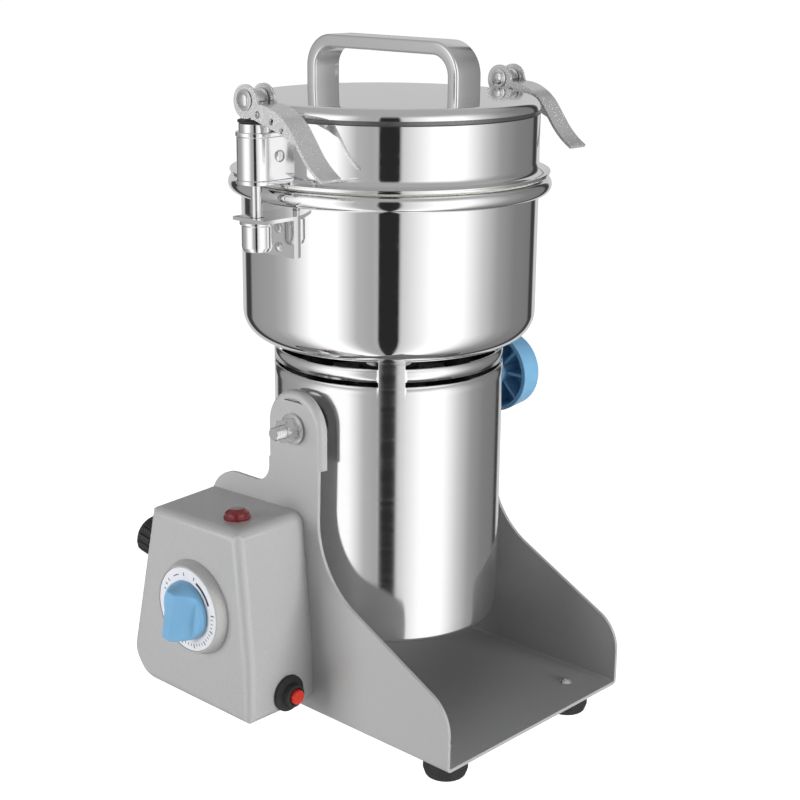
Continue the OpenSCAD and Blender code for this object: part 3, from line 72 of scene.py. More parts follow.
def gridFaces(nu, nv, wrapU=False, wrapV=False):
    # Quad (i, j), (i + 1, j), (i + 1, j + 1), (i, j + 1) for every cell of the grid
    i, j = np.meshgrid(np.arange(nu if wrapU else nu - 1),
                       np.arange(nv if wrapV else nv - 1), indexing="ij")
    i2, j2 = (i + 1) % nu, (j + 1) % nv
    return np.stack([i * nv + j, i2 * nv + j, i2 * nv + j2, i * nv + j2], -1).reshape(-1, 4)


def turned(profile, around=160, closed=False):
    # Point = (r cos a, r sin a, z) for each profile point (r, z) and angle a
    r, z = np.asarray(profile, float).T
    a = np.linspace(0, 2 * np.pi, around, endpoint=False)[:, None]
    verts = np.stack([r * np.cos(a), r * np.sin(a), z + 0 * a], -1)
    return verts.reshape(-1, 3), gridFaces(around, len(r), True, closed)


def swept(section, path, side, closed=False):
    # Point = path + side * u + normal * v, with the normal square to side and path
    path = np.asarray(path, float)
    way = np.gradient(path, axis=0)
    way /= np.linalg.norm(way, axis=1)[:, None]
    side = np.broadcast_to(np.asarray(side, float), path.shape)
    normal = np.cross(way, side)
    u, v = np.asarray(section, float).T
    verts = path[:, None] + side[:, None] * u[:, None] + normal[:, None] * v[:, None]
    n, m = len(path), len(u)
    faces = gridFaces(n, m, closed, True).tolist()
    if not closed:
        faces += [list(range(m)), list(range((n - 1) * m, n * m))]
    return verts.reshape(-1, 3), faces


def together(*shapes):
    # Joined list: each shape's face indices are raised by the number of points before it
    verts, faces, base = [], [], 0
    for v, f in shapes:
        verts.append(v)
        faces += [[base + k for k in face] for face in f]
        base += len(v)
    return np.concatenate(verts), faces


def shifted(shape, by):
    # Point = point + by
    return shape[0] + np.asarray(by, float), shape[1]


def faced(shape, matrix, by=(0, 0, 0)):
    # Point = matrix * point + by
    return shape[0] @ np.asarray(matrix, float).T + np.asarray(by, float), shape[1]


def turnX(angle):
    # Matrix of a turn by the angle, in degrees, about X
    c, s = math.cos(math.radians(angle)), math.sin(math.radians(angle))
    return np.array([[1, 0, 0], [0, c, -s], [0, s, c]])


def turnZ(angle):
    # Matrix of a turn by the angle, in degrees, about Z
    c, s = math.cos(math.radians(angle)), math.sin(math.radians(angle))
    return np.array([[c, -s, 0], [s, c, 0], [0, 0, 1]])


alongX = np.array([[0, 0, 1], [1, 0, 0], [0, 1, 0]])  # a shape's Z axis to +X
alongLeft = np.array([[0, 0, -1], [-1, 0, 0], [0, 1, 0]])  # to -X
alongFront = np.array([[1, 0, 0], [0, 0, -1], [0, 1, 0]])  # to -Y
alongBack = np.array([[1, 0, 0], [0, 0, 1], [0, -1, 0]])  # to +Y
mirrorX = np.diag([-1, 1, 1])  # to the other side of the bowl's axis


# Shapes made into pieces

meshLook = {"mergeNew": 0.0002, "mergeNode": 0.002, "flatAngle": 0.6, "normalWeight": 100}


def finishMesh(mesh, crease, closed=True):
    # Double points merged, faces turned outwards, edges sharper than the crease kept sharp
    bm = bmesh.new()
    bm.from_mesh(mesh)
    bmesh.ops.remove_doubles(bm, verts=bm.verts, dist=meshLook["mergeNew"] * mm)
    if closed:
        bmesh.ops.recalc_face_normals(bm, faces=bm.faces)
    bm.to_mesh(mesh)
    bm.free()
    mesh.shade_smooth()
    mesh.set_sharp_from_angle(angle=math.radians(crease))


def dress(piece, body, material, stands):
    # The piece gets its material, the body it rides and the nodes it stands for
    piece.data.materials.clear()
    piece.data.materials.append(material)
    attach(piece, body)
    if stands:
        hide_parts(*stands)
    return piece


def makePiece(name, shape, body, material, stands=(), crease=35, closed=True):
    # Mesh point = (shape's point + place of the bowl's axis), from mm to metres
    verts, faces = shape
    mesh = bpy.data.meshes.new(name)
    faces = faces.tolist() if hasattr(faces, "tolist") else faces
    mesh.from_pydata(((verts + home) * mm).tolist(), [], faces)
    finishMesh(mesh, crease, closed)
    piece = bpy.data.objects.new(name, mesh)
    bpy.context.scene.collection.objects.link(piece)
    return dress(piece, body, material, stands)


def softened(name, node, body, material, width=0.4, angle=32, segments=2, crease=40):
    # The node's own form with its loose triangles merged and its sharp edges rounded
    mesh = nodes[node].data.copy()
    mesh.name = name
    if mesh.has_custom_normals:
        mesh.normals_split_custom_set([(0, 0, 0)] * len(mesh.loops))
    bm = bmesh.new()
    bm.from_mesh(mesh)
    bmesh.ops.remove_doubles(bm, verts=bm.verts, dist=meshLook["mergeNode"] * mm)
    for edge in bm.edges:
        edge.smooth = True
    flat = math.radians(meshLook["flatAngle"])
    bmesh.ops.dissolve_limit(bm, angle_limit=flat, verts=bm.verts, edges=bm.edges)
    bm.to_mesh(mesh)
    bm.free()
    mesh.shade_smooth()
    mesh.set_sharp_from_angle(angle=math.radians(crease))
    piece = bpy.data.objects.new(name, mesh)
    bpy.context.scene.collection.objects.link(piece)
    if width:
        bevel = piece.modifiers.new("edges", "BEVEL")
        bevel.width = width * mm
        bevel.segments = segments
        bevel.limit_method = "ANGLE"
        bevel.angle_limit = math.radians(angle)
        bevel.use_clamp_overlap = True
    even = piece.modifiers.new("evenNormals", "WEIGHTED_NORMAL")
    even.keep_sharp = not width
    even.weight = meshLook["normalWeight"]
    return dress(piece, body, material, [node])


# Finishes

def newFinish(name, colour, metal=0.0, rough=0.5, **sockets):
    # Principled material with these constants on its own sockets
    material = bpy.data.materials.new(name)
    material.use_nodes = True
    shader = material.node_tree.nodes["Principled BSDF"]
    shader.inputs["Base Color"].default_value = (*colour, 1)
    shader.inputs["Metallic"].default_value = metal
    shader.inputs["Roughness"].default_value = rough
    for key, value in sockets.items():
        shader.inputs[key.replace("_", " ")].default_value = value
    return material


def noiseOf(material, scale, stretch=(1, 1, 1), detail=3.0):
    # Noise at (object coordinates * stretch * scale)
    tree = material.node_tree
    place = tree.nodes.new("ShaderNodeTexCoord")
    mapping = tree.nodes.new("ShaderNodeMapping")
    mapping.inputs["Scale"].default_value = stretch
    noise = tree.nodes.new("ShaderNodeTexNoise")
    noise.inputs["Scale"].default_value = scale
    noise.inputs["Detail"].default_value = detail
    tree.links.new(place.outputs["Object"], mapping.inputs["Vector"])
    tree.links.new(mapping.outputs["Vector"], noise.inputs["Vector"])
    return noise.outputs["Fac"]


def mapRange(tree, value, start, end, low=0, high=1):
    # Result = low to high as the value runs from start to end
    node = tree.nodes.new("ShaderNodeMapRange")
    for key, number in zip(("From Min", "From Max", "To Min", "To Max"), (start, end, low, high)):
        node.inputs[key].default_value = number
    tree.links.new(value, node.inputs["Value"])
    return node


def varyRough(material, scale, low, high, stretch=(1, 1, 1)):
    # Roughness = low to high as the noise runs from 0.3 to 0.7
    tree = material.node_tree
    span = mapRange(tree, noiseOf(material, scale, stretch), 0.3, 0.7, low, high)
    tree.links.new(span.outputs["Result"], tree.nodes["Principled BSDF"].inputs["Roughness"])


def varyColour(material, scale, first, second, stretch=(1, 1, 1), detail=3.0):
    # Colour = first to second as the noise runs from 0.35 to 0.65
    tree = material.node_tree
    ramp = tree.nodes.new("ShaderNodeValToRGB")
    ramp.color_ramp.elements[0].position = 0.35
    ramp.color_ramp.elements[1].position = 0.65
    ramp.color_ramp.elements[0].color = (*first, 1)
    ramp.color_ramp.elements[1].color = (*second, 1)
    tree.links.new(noiseOf(material, scale, stretch, detail), ramp.inputs["Fac"])
    tree.links.new(ramp.outputs["Color"], tree.nodes["Principled BSDF"].inputs["Base Color"])


def addBump(material, scale, strength, depth, stretch=(1, 1, 1), detail=3.0):
    # Height = noise * depth; a second call adds to the first
    tree = material.node_tree
    shader = tree.nodes["Principled BSDF"]
    bump = tree.nodes.new("ShaderNodeBump")
    bump.inputs["Strength"].default_value = strength
    bump.inputs["Distance"].default_value = depth * mm
    before = shader.inputs["Normal"].links
    if before:
        tree.links.new(before[0].from_socket, bump.inputs["Normal"])
    tree.links.new(noiseOf(material, scale, stretch, detail), bump.inputs["Height"])
    tree.links.new(bump.outputs["Normal"], shader.inputs["Normal"])


steelLook = {"colour": (0.86, 0.86, 0.865), "spunRough": (0.035, 0.075), "handRough": (0.08, 0.14),
             "barrelRough": (0.09, 0.15), "leverRough": (0.2, 0.3)}
paintLook = {"colour": (0.52, 0.52, 0.52), "fleck": 0.02, "metal": 0.25, "rough": (0.36, 0.46),
             "grain": 0.05}
plasticLook = {"blue": (0.2, 0.44, 0.68), "black": (0.016, 0.016, 0.017), "lamp": (0.17, 0.004, 0.008),
               "button": (0.78, 0.035, 0.016), "dial": (0.82, 0.82, 0.86), "ink": (0.03, 0.03, 0.05)}

spunSteel = newFinish("spunSteel", steelLook["colour"], 1.0, 0.05)
varyRough(spunSteel, 260, *steelLook["spunRough"], stretch=(0.06, 0.06, 1))
addBump(spunSteel, 9, 0.10, 0.6, detail=1.0)
addBump(spunSteel, 700, 0.012, 0.02, stretch=(0.03, 0.03, 1))

# Darker steel colour for the lid's groove: painted shade in the recess
paintedGrooveShade = newFinish("paintedGrooveShade", (0.2, 0.2, 0.205), 0.9, 0.3)
varyRough(paintedGrooveShade, 200, 0.25, 0.4)

handSteel = newFinish("handSteel", steelLook["colour"], 1.0, 0.1)
varyRough(handSteel, 180, *steelLook["handRough"])
addBump(handSteel, 28, 0.12, 0.25, detail=1.0)
addBump(handSteel, 900, 0.01, 0.02, stretch=(1, 0.05, 0.05))

leverSteel = newFinish("leverSteel", steelLook["colour"], 0.7, 0.25)
varyRough(leverSteel, 240, *steelLook["leverRough"])
addBump(leverSteel, 500, 0.05, 0.03, stretch=(0.15, 1, 1))

barrelSteel = newFinish("barrelSteel", (0.85, 0.85, 0.855), 1.0, 0.12)
varyRough(barrelSteel, 420, *steelLook["barrelRough"], stretch=(0.04, 0.04, 1))
addBump(barrelSteel, 7, 0.12, 0.5, detail=1.0)
addBump(barrelSteel, 1100, 0.03, 0.02, stretch=(0.02, 0.02, 1))

smallSteel = newFinish("smallSteel", (0.8, 0.8, 0.81), 1.0, 0.16)
varyRough(smallSteel, 500, 0.12, 0.24)
addBump(smallSteel, 900, 0.04, 0.02)

base = np.array(paintLook["colour"])
silverPaint = newFinish("silverPaint", paintLook["colour"], paintLook["metal"], 0.4)
varyColour(silverPaint, 1500, tuple(base - paintLook["fleck"]), tuple(base + paintLook["fleck"]),
           detail=1.0)
varyRough(silverPaint, 320, *paintLook["rough"])
addBump(silverPaint, 1300, 0.16, paintLook["grain"], detail=2.0)
addBump(silverPaint, 60, 0.05, 0.12, detail=1.0)

ringPaint = newFinish("ringPaint", (0.5, 0.5, 0.495), 0.3, 0.4)
varyColour(ringPaint, 1500, (0.47, 0.47, 0.465), (0.53, 0.53, 0.525), detail=1.0)
addBump(ringPaint, 1200, 0.1, 0.04)

bluePlastic = newFinish("bluePlastic", plasticLook["blue"], 0.0, 0.36)
varyColour(bluePlastic, 45, (0.19, 0.42, 0.66), (0.21, 0.46, 0.7))
varyRough(bluePlastic, 200, 0.3, 0.42)
addBump(bluePlastic, 500, 0.06, 0.03)

blackPlastic = newFinish("blackPlastic", plasticLook["black"], 0.0, 0.32)
varyRough(blackPlastic, 260, 0.24, 0.42)
addBump(blackPlastic, 800, 0.08, 0.03)

blackRubber = newFinish("blackRubber", (0.022, 0.022, 0.023), 0.0, 0.62)
varyRough(blackRubber, 220, 0.52, 0.72)
addBump(blackRubber, 900, 0.2, 0.06)

sealRubber = newFinish("sealRubber", (0.6, 0.58, 0.52), 0.0, 0.5)
addBump(sealRubber, 600, 0.12, 0.05)

dialWhite = newFinish("dialWhite", plasticLook["dial"], 0.0, 0.3)
varyColour(dialWhite, 30, (0.8, 0.8, 0.84), (0.84, 0.84, 0.88))
addBump(dialWhite, 400, 0.03, 0.02)

dialInk = newFinish("dialInk", plasticLook["ink"], 0.0, 0.4)
varyColour(dialInk, 900, (0.025, 0.025, 0.045), (0.05, 0.05, 0.075))

lampRed = newFinish("lampRed", plasticLook["lamp"], 0.0, 0.08, Coat_Weight=0.6, Coat_Roughness=0.04)
varyColour(lampRed, 320, (0.1, 0.002, 0.004), (0.2, 0.006, 0.01))
addBump(lampRed, 240, 0.15, 0.1)

buttonRed = newFinish("buttonRed", plasticLook["button"], 0.0, 0.3)
varyColour(buttonRed, 180, (0.72, 0.03, 0.014), (0.84, 0.045, 0.02))
addBump(buttonRed, 500, 0.05, 0.03)

castMetal = newFinish("castMetal", (0.42, 0.425, 0.43), 0.9, 0.48)
varyRough(castMetal, 300, 0.4, 0.6)
addBump(castMetal, 500, 0.25, 0.1)

# Near-black that stands for shade: painted shade on the barrel's inner face and on the upper shield
paintedShadeBlack = newFinish("paintedShadeBlack", (0.012, 0.012, 0.013), 0.0, 0.6)
varyRough(paintedShadeBlack, 200, 0.5, 0.7)
addBump(paintedShadeBlack, 500, 0.1, 0.05)

coreSteel = newFinish("coreSteel", (0.16, 0.16, 0.17), 0.8, 0.5)
addBump(coreSteel, 1500, 0.3, 0.1, stretch=(0.02, 0.02, 1))

copperWire = newFinish("copperWire", (0.55, 0.24, 0.1), 0.85, 0.34)
varyColour(copperWire, 260, (0.46, 0.19, 0.08), (0.62, 0.29, 0.13))
addBump(copperWire, 900, 0.4, 0.2, stretch=(0.1, 1, 1))

resinBoard = newFinish("resinBoard", (0.09, 0.055, 0.035), 0.0, 0.5)
addBump(resinBoard, 500, 0.1, 0.05)

darkPlastic = newFinish("darkPlastic", (0.05, 0.05, 0.052), 0.0, 0.5)
varyRough(darkPlastic, 200, 0.42, 0.6)
addBump(darkPlastic, 700, 0.12, 0.05)

creamPlastic = newFinish("creamPlastic", (0.62, 0.62, 0.6), 0.0, 0.45)
addBump(creamPlastic, 500, 0.08, 0.04)
print("finishes made:", len(bpy.data.materials))


# Cradle and feet

cradleLook = {"edge": 0.5}
softened("cradleSheet", "cradle", "stand", silverPaint, cradleLook["edge"], segments=3)

footLook = {"radius": 13.0, "height": 15.8, "tread": 1.6, "treadHigh": 4.6, "neck": 12.4, "bore": 2.0,
            "recess": 5.85, "recessDeep": 7.9, "spots": [(56, -100), (-56, -100), (56, 75), (-56, 75)]}


def footShape(look):
    # Profile: up from the flared tread to the neck, then down inside the recess
    r, h = look["radius"], look["height"]
    line = roundedLine([(look["recess"], 0), (r - look["tread"], 0), (r, look["treadHigh"]),
                        (look["neck"], h), (look["bore"], h), (look["bore"], look["recessDeep"]),
                        (look["recess"], look["recessDeep"])], [0.5, 1.6, 2.5, 0.8, 0, 0, 0.6], 5)
    return turned(line, 72, True)


makePiece("rubberFeet", together(*[shifted(footShape(footLook), (x, y, 0)) for x, y in footLook["spots"]]),
          "stand", blackRubber, ["feet"])

screwLook = {"radius": 4.0, "rise": 2.0, "slot": 0.5, "slotDeep": 0.9, "slotReach": 2.6, "skirt": 0.6,
             "shank": 1.95, "shankLow": 4.0, "shankHigh": 17.7, "headLow": 17.8, "nutHigh": 3.0,
             "nutLow": 4.9, "nutChamfer": 0.3}


def crossHead(look, rings=30, around=96):
    # Height = dome less a cross-shaped recess: h (1 - (r/R)^2) - d inside either bar
    r = np.linspace(0, look["radius"], rings)
    a = np.linspace(0, 2 * np.pi, around, endpoint=False)[:, None]
    x, y = r * np.cos(a), r * np.sin(a)
    lift = look["rise"] * (1 - (r / look["radius"]) ** 2) + 0 * a
    bar = np.minimum(np.maximum(abs(x) / look["slotReach"], abs(y) / look["slot"]),
                     np.maximum(abs(y) / look["slotReach"], abs(x) / look["slot"]))
    lift = lift - look["slotDeep"] * np.clip(3 - 2.4 * bar, 0, 1)
    verts = np.stack([x, y, lift], -1).reshape(-1, 3)
    rim = np.stack([x[:, -1], y[:, -1], 0 * x[:, -1] - look["skirt"]], -1)
    faces = gridFaces(around, rings, True).tolist()
    ring = np.arange(around)
    last, low = ring * rings + rings - 1, around * rings + ring
    faces += np.stack([last, low, np.roll(low, -1), np.roll(last, -1)], -1).tolist()
    faces.append(low.tolist())
    return np.concatenate([verts, rim]), faces


def bandLine(inner, outer, low, high, edges, turns=3):
    # Profile: out from the inner radius at the low end, up, and back in at the high end
    return roundedLine([(inner, low), (outer, low), (outer, high), (inner, high)], edges, turns)


def plainRod(radius, low, high, around=48, edge=0.3):
    # Band profile that starts on the axis, turned
    return turned(bandLine(0, radius, low, high, [0, edge, edge, 0]), around)


def hexNut(corner, height, bore, chamfer=0.55, around=144):
    # Radius = least of the hexagon's flat, apothem / cos(angle from the flat's middle),
    # and the cone that chamfers both ends
    a = np.linspace(0, 2 * np.pi, around, endpoint=False)[:, None]
    flat = corner * math.cos(math.pi / 6) / np.cos((a % (math.pi / 3)) - math.pi / 6)
    z = np.array([0, 0, chamfer, height - chamfer, height, height])
    cone = corner - np.array([0, 1.4, 0, 0, 1.4, 0]) * chamfer
    r = np.minimum(flat, cone)
    r[:, 0] = r[:, -1] = bore
    verts = np.stack([r * np.cos(a), r * np.sin(a), z + 0 * a], -1).reshape(-1, 3)
    return verts, gridFaces(around, len(z), True, True)


screw = together(
    shifted(crossHead(screwLook), (0, 0, screwLook["headLow"])),
    plainRod(screwLook["shank"], screwLook["shankLow"], screwLook["shankHigh"], 24),
    shifted(hexNut(screwLook["radius"], screwLook["nutHigh"], screwLook["shank"], screwLook["nutChamfer"]),
            (0, 0, screwLook["nutLow"])))
makePiece("footScrews", together(*[shifted(screw, (x, y, 0)) for x, y in footLook["spots"]]),
          "stand", smallSteel, ["foot_screws"])
print("cradle and feet done")


# Motor barrel

barrelLook = {"radius": 68.0, "wall": 1.2, "low": 60.0, "edge": 3.2,
              "slots": [(215.5, 218.5), (225.8, 231.0)], "bridge": 15.0, "bridges": (45, 135, 225, 315)}


def barrelShape(look):
    # Radius = R at height z, turning in by an arc below; cells in a slot, but not in a
    # bridge, are left out
    half = math.degrees(math.asin(look["bridge"] / 2 / look["radius"]))
    marks = np.concatenate([[q - half, q + half] for q in look["bridges"]])
    a = np.unique(np.round(np.concatenate([np.arange(0, 360, 1.5), marks]), 4))
    arc = np.radians(np.linspace(-90, 0, 9))[:-1]
    edge = np.stack([look["radius"] - look["edge"] + look["edge"] * np.cos(arc),
                     look["low"] + look["edge"] + look["edge"] * np.sin(arc)], -1)
    levels = np.unique(np.concatenate([np.linspace(look["low"] + look["edge"], look["slots"][0][0], 24),
                                       np.array(look["slots"]).ravel()]))
    r = np.concatenate([edge[:, 0], levels * 0 + look["radius"]])
    z = np.concatenate([edge[:, 1], levels])
    t = np.radians(a)[:, None]
    verts = np.stack([r * np.cos(t), r * np.sin(t), z + 0 * t], -1).reshape(-1, 3)
    faces = gridFaces(len(a), len(r), True)
    mid = (a + np.append(a[1:], 360 + a[0])) / 2
    inBridge = (abs((mid - 45) % 90 - 45) > 45 - half) | (abs(((mid - 45) % 90)) < half)
    midZ = (z[:-1] + z[1:]) / 2
    inSlot = np.any([(midZ > s[0]) & (midZ < s[1]) for s in look["slots"]], axis=0)
    keep = inBridge[:, None] | ~inSlot[None, :]
    return verts, faces[keep.ravel()]


barrel = makePiece("barrelTube", barrelShape(barrelLook), "mill", barrelSteel,
                   ["motor_barrel"], 40, closed=False)
wall = barrel.modifiers.new("wall", "SOLIDIFY")
wall.thickness = barrelLook["wall"] * mm
wall.offset = -1
# The wall's inner face is near-black: painted shade seen through the vent slots
barrel.data.materials.append(paintedShadeBlack)
wall.material_offset = 1


bossLook = {"bore": 4.02, "radius": 11.0, "end": 73.9, "edge": 0.6, "seat": 67.9, "sink": 0.05, "z": 188.0}


def bossShape(look):
    # Short tube from the barrel to the bush: its inner end lies at sqrt(seat^2 - y^2) - sink
    start = look["seat"] - look["radius"]
    line = bandLine(look["bore"], look["radius"], start, look["end"], [0, 0, look["edge"], 0])
    v, f = turned(line, 72, True)
    inner = v[:, 2] < start + look["edge"]
    v[inner, 2] = np.sqrt(look["seat"] ** 2 - v[inner, 1] ** 2) - look["sink"]
    return shifted(together(faced((v, f), alongLeft), faced((v, f), alongX)), (0, 0, look["z"]))


makePiece("pivotBosses", bossShape(bossLook), "mill", barrelSteel, ["pivot_bosses"])
print("barrel done")


# Bowl and lid

bowlLook = {"radius": 86.0, "wall": 1.5, "low": 231.0, "top": 326.5, "corner": 16.4, "rimReach": 93.4,
            "rimHeight": 9.6, "rollFrom": -100, "lip": 0.3, "lipDeep": 0.6, "floor": 3.0, "hole": 14.0,
            "seam": 0.2, "straight": 3.0}


def bowlShape(look):
    # Profile: out along the underside, up the wall, round the rolled rim, down inside
    r, w, low, top = look["radius"], look["wall"], look["low"], look["top"]
    h, reach = look["rimHeight"], look["rimReach"]
    outside = roundedLine([(look["hole"], low), (r, low), (r, top - h - look["seam"])],
                          [0, look["corner"], 0], 26)
    roll = np.radians(np.linspace(look["rollFrom"], 90, 26))
    centre = (reach - h / 2, top - h / 2)
    rim = np.stack([centre[0] + h / 2 * np.cos(roll), centre[1] + h / 2 * np.sin(roll)], -1)
    inside = roundedLine([(r - w + look["lip"], top), (r - w, top - look["lipDeep"]),
                          (r - w, low + look["floor"]), (look["hole"], low + look["floor"])],
                         [0, 0, look["corner"] - w, 0], 18)
    # the straight wall is cut into even steps, so the streaks stay straight
    steps = np.linspace(low + look["corner"] + look["straight"], top - h - look["straight"], 12)
    up = np.stack([0 * steps + r, steps], -1)
    line = np.concatenate([outside[:-1], up, outside[-1:], rim, inside])
    return turned(line, 288, True)


makePiece("bowlShell", bowlShape(bowlLook), "mill", spunSteel, ["bowl"], 50)

lidLook = {"radius": 85.8, "top": 370.6, "edge": 6.4, "sheet": 1.0, "grooveZ": 362.2, "groove": 2.0,
           "grooveDeep": 0.8, "grooveEdge": 0.25, "grooveLip": 0.4, "flange": 92.4, "flangeLow": 328.5,
           "flare": 6.1, "roll": 0.35, "darkPast": 0.3, "darkDeep": 0.9}


def lidShape(look):
    # Profile: across the top, down the skirt past the groove, out along the flare, back inside
    r, t, s = look["radius"], look["top"], look["sheet"]
    gz, g, d, low = look["grooveZ"], look["groove"], look["grooveDeep"], look["flangeLow"]
    line = roundedLine(
        [(0, t), (r, t), (r, gz + g), (r - d, gz + g), (r - d, gz), (r, gz), (r, low + s),
         (look["flange"], low + s), (look["flange"], low), (r - s, low), (r - s, t - s), (0, t - s)],
        [0, look["edge"], look["grooveLip"], look["grooveEdge"], look["grooveEdge"], look["grooveLip"],
         look["flare"], look["roll"], look["roll"], look["flare"] + s, look["edge"] - s, 0], 14)
    return turned(line, 288)


lid = makePiece("lidShell", lidShape(lidLook), "lid", spunSteel, ["lid_shell"], 50)


def paintShadeInGroove(piece, look):
    # Faces whose middle lies in the groove's height and outside the inner wall turn dark, as painted shade
    # in the groove
    piece.data.materials.append(paintedGrooveShade)
    middles = np.zeros(len(piece.data.polygons) * 3)
    piece.data.polygons.foreach_get("center", middles)
    x, y, z = middles.reshape(-1, 3).T / mm
    outer = np.hypot(x - home[0], y - home[1]) > look["radius"] - look["darkDeep"]
    low, high = look["grooveZ"] - look["darkPast"], look["grooveZ"] + look["groove"] + look["darkPast"]
    piece.data.polygons.foreach_set("material_index", (outer & (z > low) & (z < high)).astype(np.int32))


paintShadeInGroove(lid, lidLook)

handleLook = {"width": 20.5, "thick": 7.6, "length": 118.0, "top": 403.0, "foot": 370.2, "bend": 19.0,
              "edge": 1.5}


def handleShape(look):
    # Rounded bar section carried up one leg, across the top and down the other leg
    y, t = look["length"] / 2 - look["thick"] / 2, look["thick"] / 2
    path = roundedLine([(-y, look["foot"]), (-y, look["top"] - t), (y, look["top"] - t),
                        (y, look["foot"])], [0, look["bend"] - t, look["bend"] - t, 0], 22)
    legs = np.linspace(0, 1, 8)[1:-1, None]
    path = np.concatenate([path[:1], path[0] + legs * (path[1] - path[0]), path[1:-1],
                           path[-2] + legs * (path[-1] - path[-2]), path[-1:]])
    path = np.stack([0 * path[:, 0], path[:, 0], path[:, 1]], -1)
    w, e = look["width"] / 2, look["edge"]
    section = roundedLine([(-w, -t), (w, -t), (w, t), (-w, t)], [e] * 4, 5)
    return swept(section, path, (1, 0, 0))


makePiece("handleBar", handleShape(handleLook), "lid", handSteel, ["lid_handle"], 40)
print("bowl, lid and handle done")


# Latches and catches

latchLook = {"x": 103.6, "rod": 3.0, "bore": 3.1, "tube": 9.0, "tubeSkin": 0.05, "tubeLow": 330.2,
             "tubeTop": 362.65, "strapLow": 330.1, "strapHigh": 27.8, "strapWall": 1.2, "strapRun": 22.0,
             "lip": 0.5, "lipHigh": 2.2, "slope": 0.5, "washer": 9.5, "washerLow": 362.7,
             "washerTop": 364.1, "pinZ": 374.6, "rivetX": 95.9, "rivetZ": 345.11, "rodLow": 296.95}


def strapShape(look):
    # Band with a rolled lip at the top and bottom, carried round the tube in a U
    low, high = look["strapLow"], look["strapLow"] + look["strapHigh"]
    out, lip, n, slope = look["strapWall"], look["lip"], look["lipHigh"], look["slope"]
    section = roundedLine([(0, low), (out + lip, low), (out + lip, low + n), (out, low + n + slope),
                           (out, high - n - slope), (out + lip, high - n), (out + lip, high), (0, high)],
                          [0, 0.5, 0.5, 0.3, 0.3, 0.5, 0.5, 0], 4)
    turn = np.radians(np.linspace(90, 270, 49))
    steps = np.linspace(0, 1, 12)
    run = np.concatenate([look["strapRun"] * (1 - steps[:-1]), 0 * turn, look["strapRun"] * steps[1:]])
    path = np.stack([run, 0 * run], -1)
    normal = np.concatenate([np.tile([0, 1.0], (11, 1)), np.stack([np.cos(turn), np.sin(turn)], -1),
                             np.tile([0, -1.0], (11, 1))])
    xy = path[:, None] + normal[:, None] * (look["tube"] + section[:, 0])[None, :, None]
    z = np.broadcast_to(section[:, 1], xy.shape[:2])
    verts = np.concatenate([xy, z[..., None]], -1)
    n, m = verts.shape[:2]
    faces = gridFaces(n, m, False, True).tolist() + [list(range(m)), list(range((n - 1) * m, n * m))]
    return verts.reshape(-1, 3) + np.array([-look["x"], 0, 0]), faces


def domeHead(radius, rise, skirt=0.3, sunk=0.4, around=40):
    # Profile: quarter ellipse of the head's radius and rise above a short skirt
    t = np.radians(np.linspace(0, 90, 12))
    line = np.concatenate([[[0, -sunk], [radius, -sunk]],
                           np.stack([radius * np.cos(t), skirt + rise * np.sin(t)], -1)])
    line[-1, 0] = 0
    return turned(line, around)


def bothSides(shape):
    # The shape and its mirror image with x turned to -x
    return together(shape, faced(shape, mirrorX))


makePiece("latchStraps", bothSides(strapShape(latchLook)), "lid", handSteel,
          ["latch_straps"])


def onRod(line, closed=True):
    # The profile turned about both latch rods
    return bothSides(shifted(turned(line, 96, closed), (-latchLook["x"], 0, 0)))


bore = latchLook["bore"]
tubeLine = bandLine(bore, latchLook["tube"] - latchLook["tubeSkin"], latchLook["tubeLow"],
                    latchLook["tubeTop"], [0.4, 1.0, 0.9, 0.4], 5)
makePiece("latchTubes", onRod(tubeLine), "lid", handSteel, ["latch_tubes"])
washerLine = bandLine(bore, latchLook["washer"], latchLook["washerLow"], latchLook["washerTop"],
                      [0.3, 0.5, 0.5, 0.3], 5)
makePiece("latchWashers", onRod(washerLine), "lid", blackRubber, ["latch_washers"])

rivetLook = {"strapRadius": 3.3, "strapRise": 1.25, "catchRadius": 2.6, "catchRise": 1.3, "catchX": 88.0,
             "catchHeights": (304.33, 294.06)}
rivetY = latchLook["tube"] + latchLook["strapWall"]
strapHead = domeHead(rivetLook["strapRadius"], rivetLook["strapRise"])
pair = together(faced(strapHead, alongFront, (-latchLook["rivetX"], -rivetY, latchLook["rivetZ"])),
                faced(strapHead, alongBack, (-latchLook["rivetX"], rivetY, latchLook["rivetZ"])))
makePiece("strapRivets", bothSides(pair), "lid", smallSteel, ["strap_rivets"])

rodLook = {"head": 5.5, "headHalf": 4.9, "pin": 2.5, "pinHalf": 8.15, "washer": 5.5, "washerThick": 0.6,
           "domeRadius": 3.7, "domeRise": 1.2}


def rodShape(side, look=rodLook):
    # Upright rod, cross head, pin through the eyes, a washer and a domed head at each end
    z = latchLook["pinZ"]
    upright = plainRod(latchLook["rod"], latchLook["rodLow"], z, 48, 0.4)
    head = plainRod(look["head"], -look["headHalf"], look["headHalf"], 64, 0.6)
    pin = plainRod(look["pin"], -look["pinHalf"], look["pinHalf"], 40, 0.2)
    cross = [faced(head, alongX, (0, 0, z)), faced(pin, alongX, (0, 0, z))]
    for way, frameTo in ((1, alongX), (-1, alongLeft)):
        at = (way * (look["pinHalf"] - look["washerThick"]), 0, z)
        cross.append(faced(plainRod(look["washer"], 0, look["washerThick"], 56, 0.2), frameTo, at))
        cross.append(faced(domeHead(look["domeRadius"], look["domeRise"]),
                           frameTo, (way * look["pinHalf"], 0, z)))
    return shifted(together(upright, *cross), (side * latchLook["x"], 0, 0))


makePiece("rodLeft", rodShape(-1), "left_rod", smallSteel, ["rod_left"])
makePiece("rodRight", rodShape(1), "right_rod", smallSteel, ["rod_right"])
softened("leverLeft", "lever_left", "left_lever", leverSteel, 0.4, segments=3)
softened("leverRight", "lever_right", "right_lever", leverSteel, 0.4, segments=3)

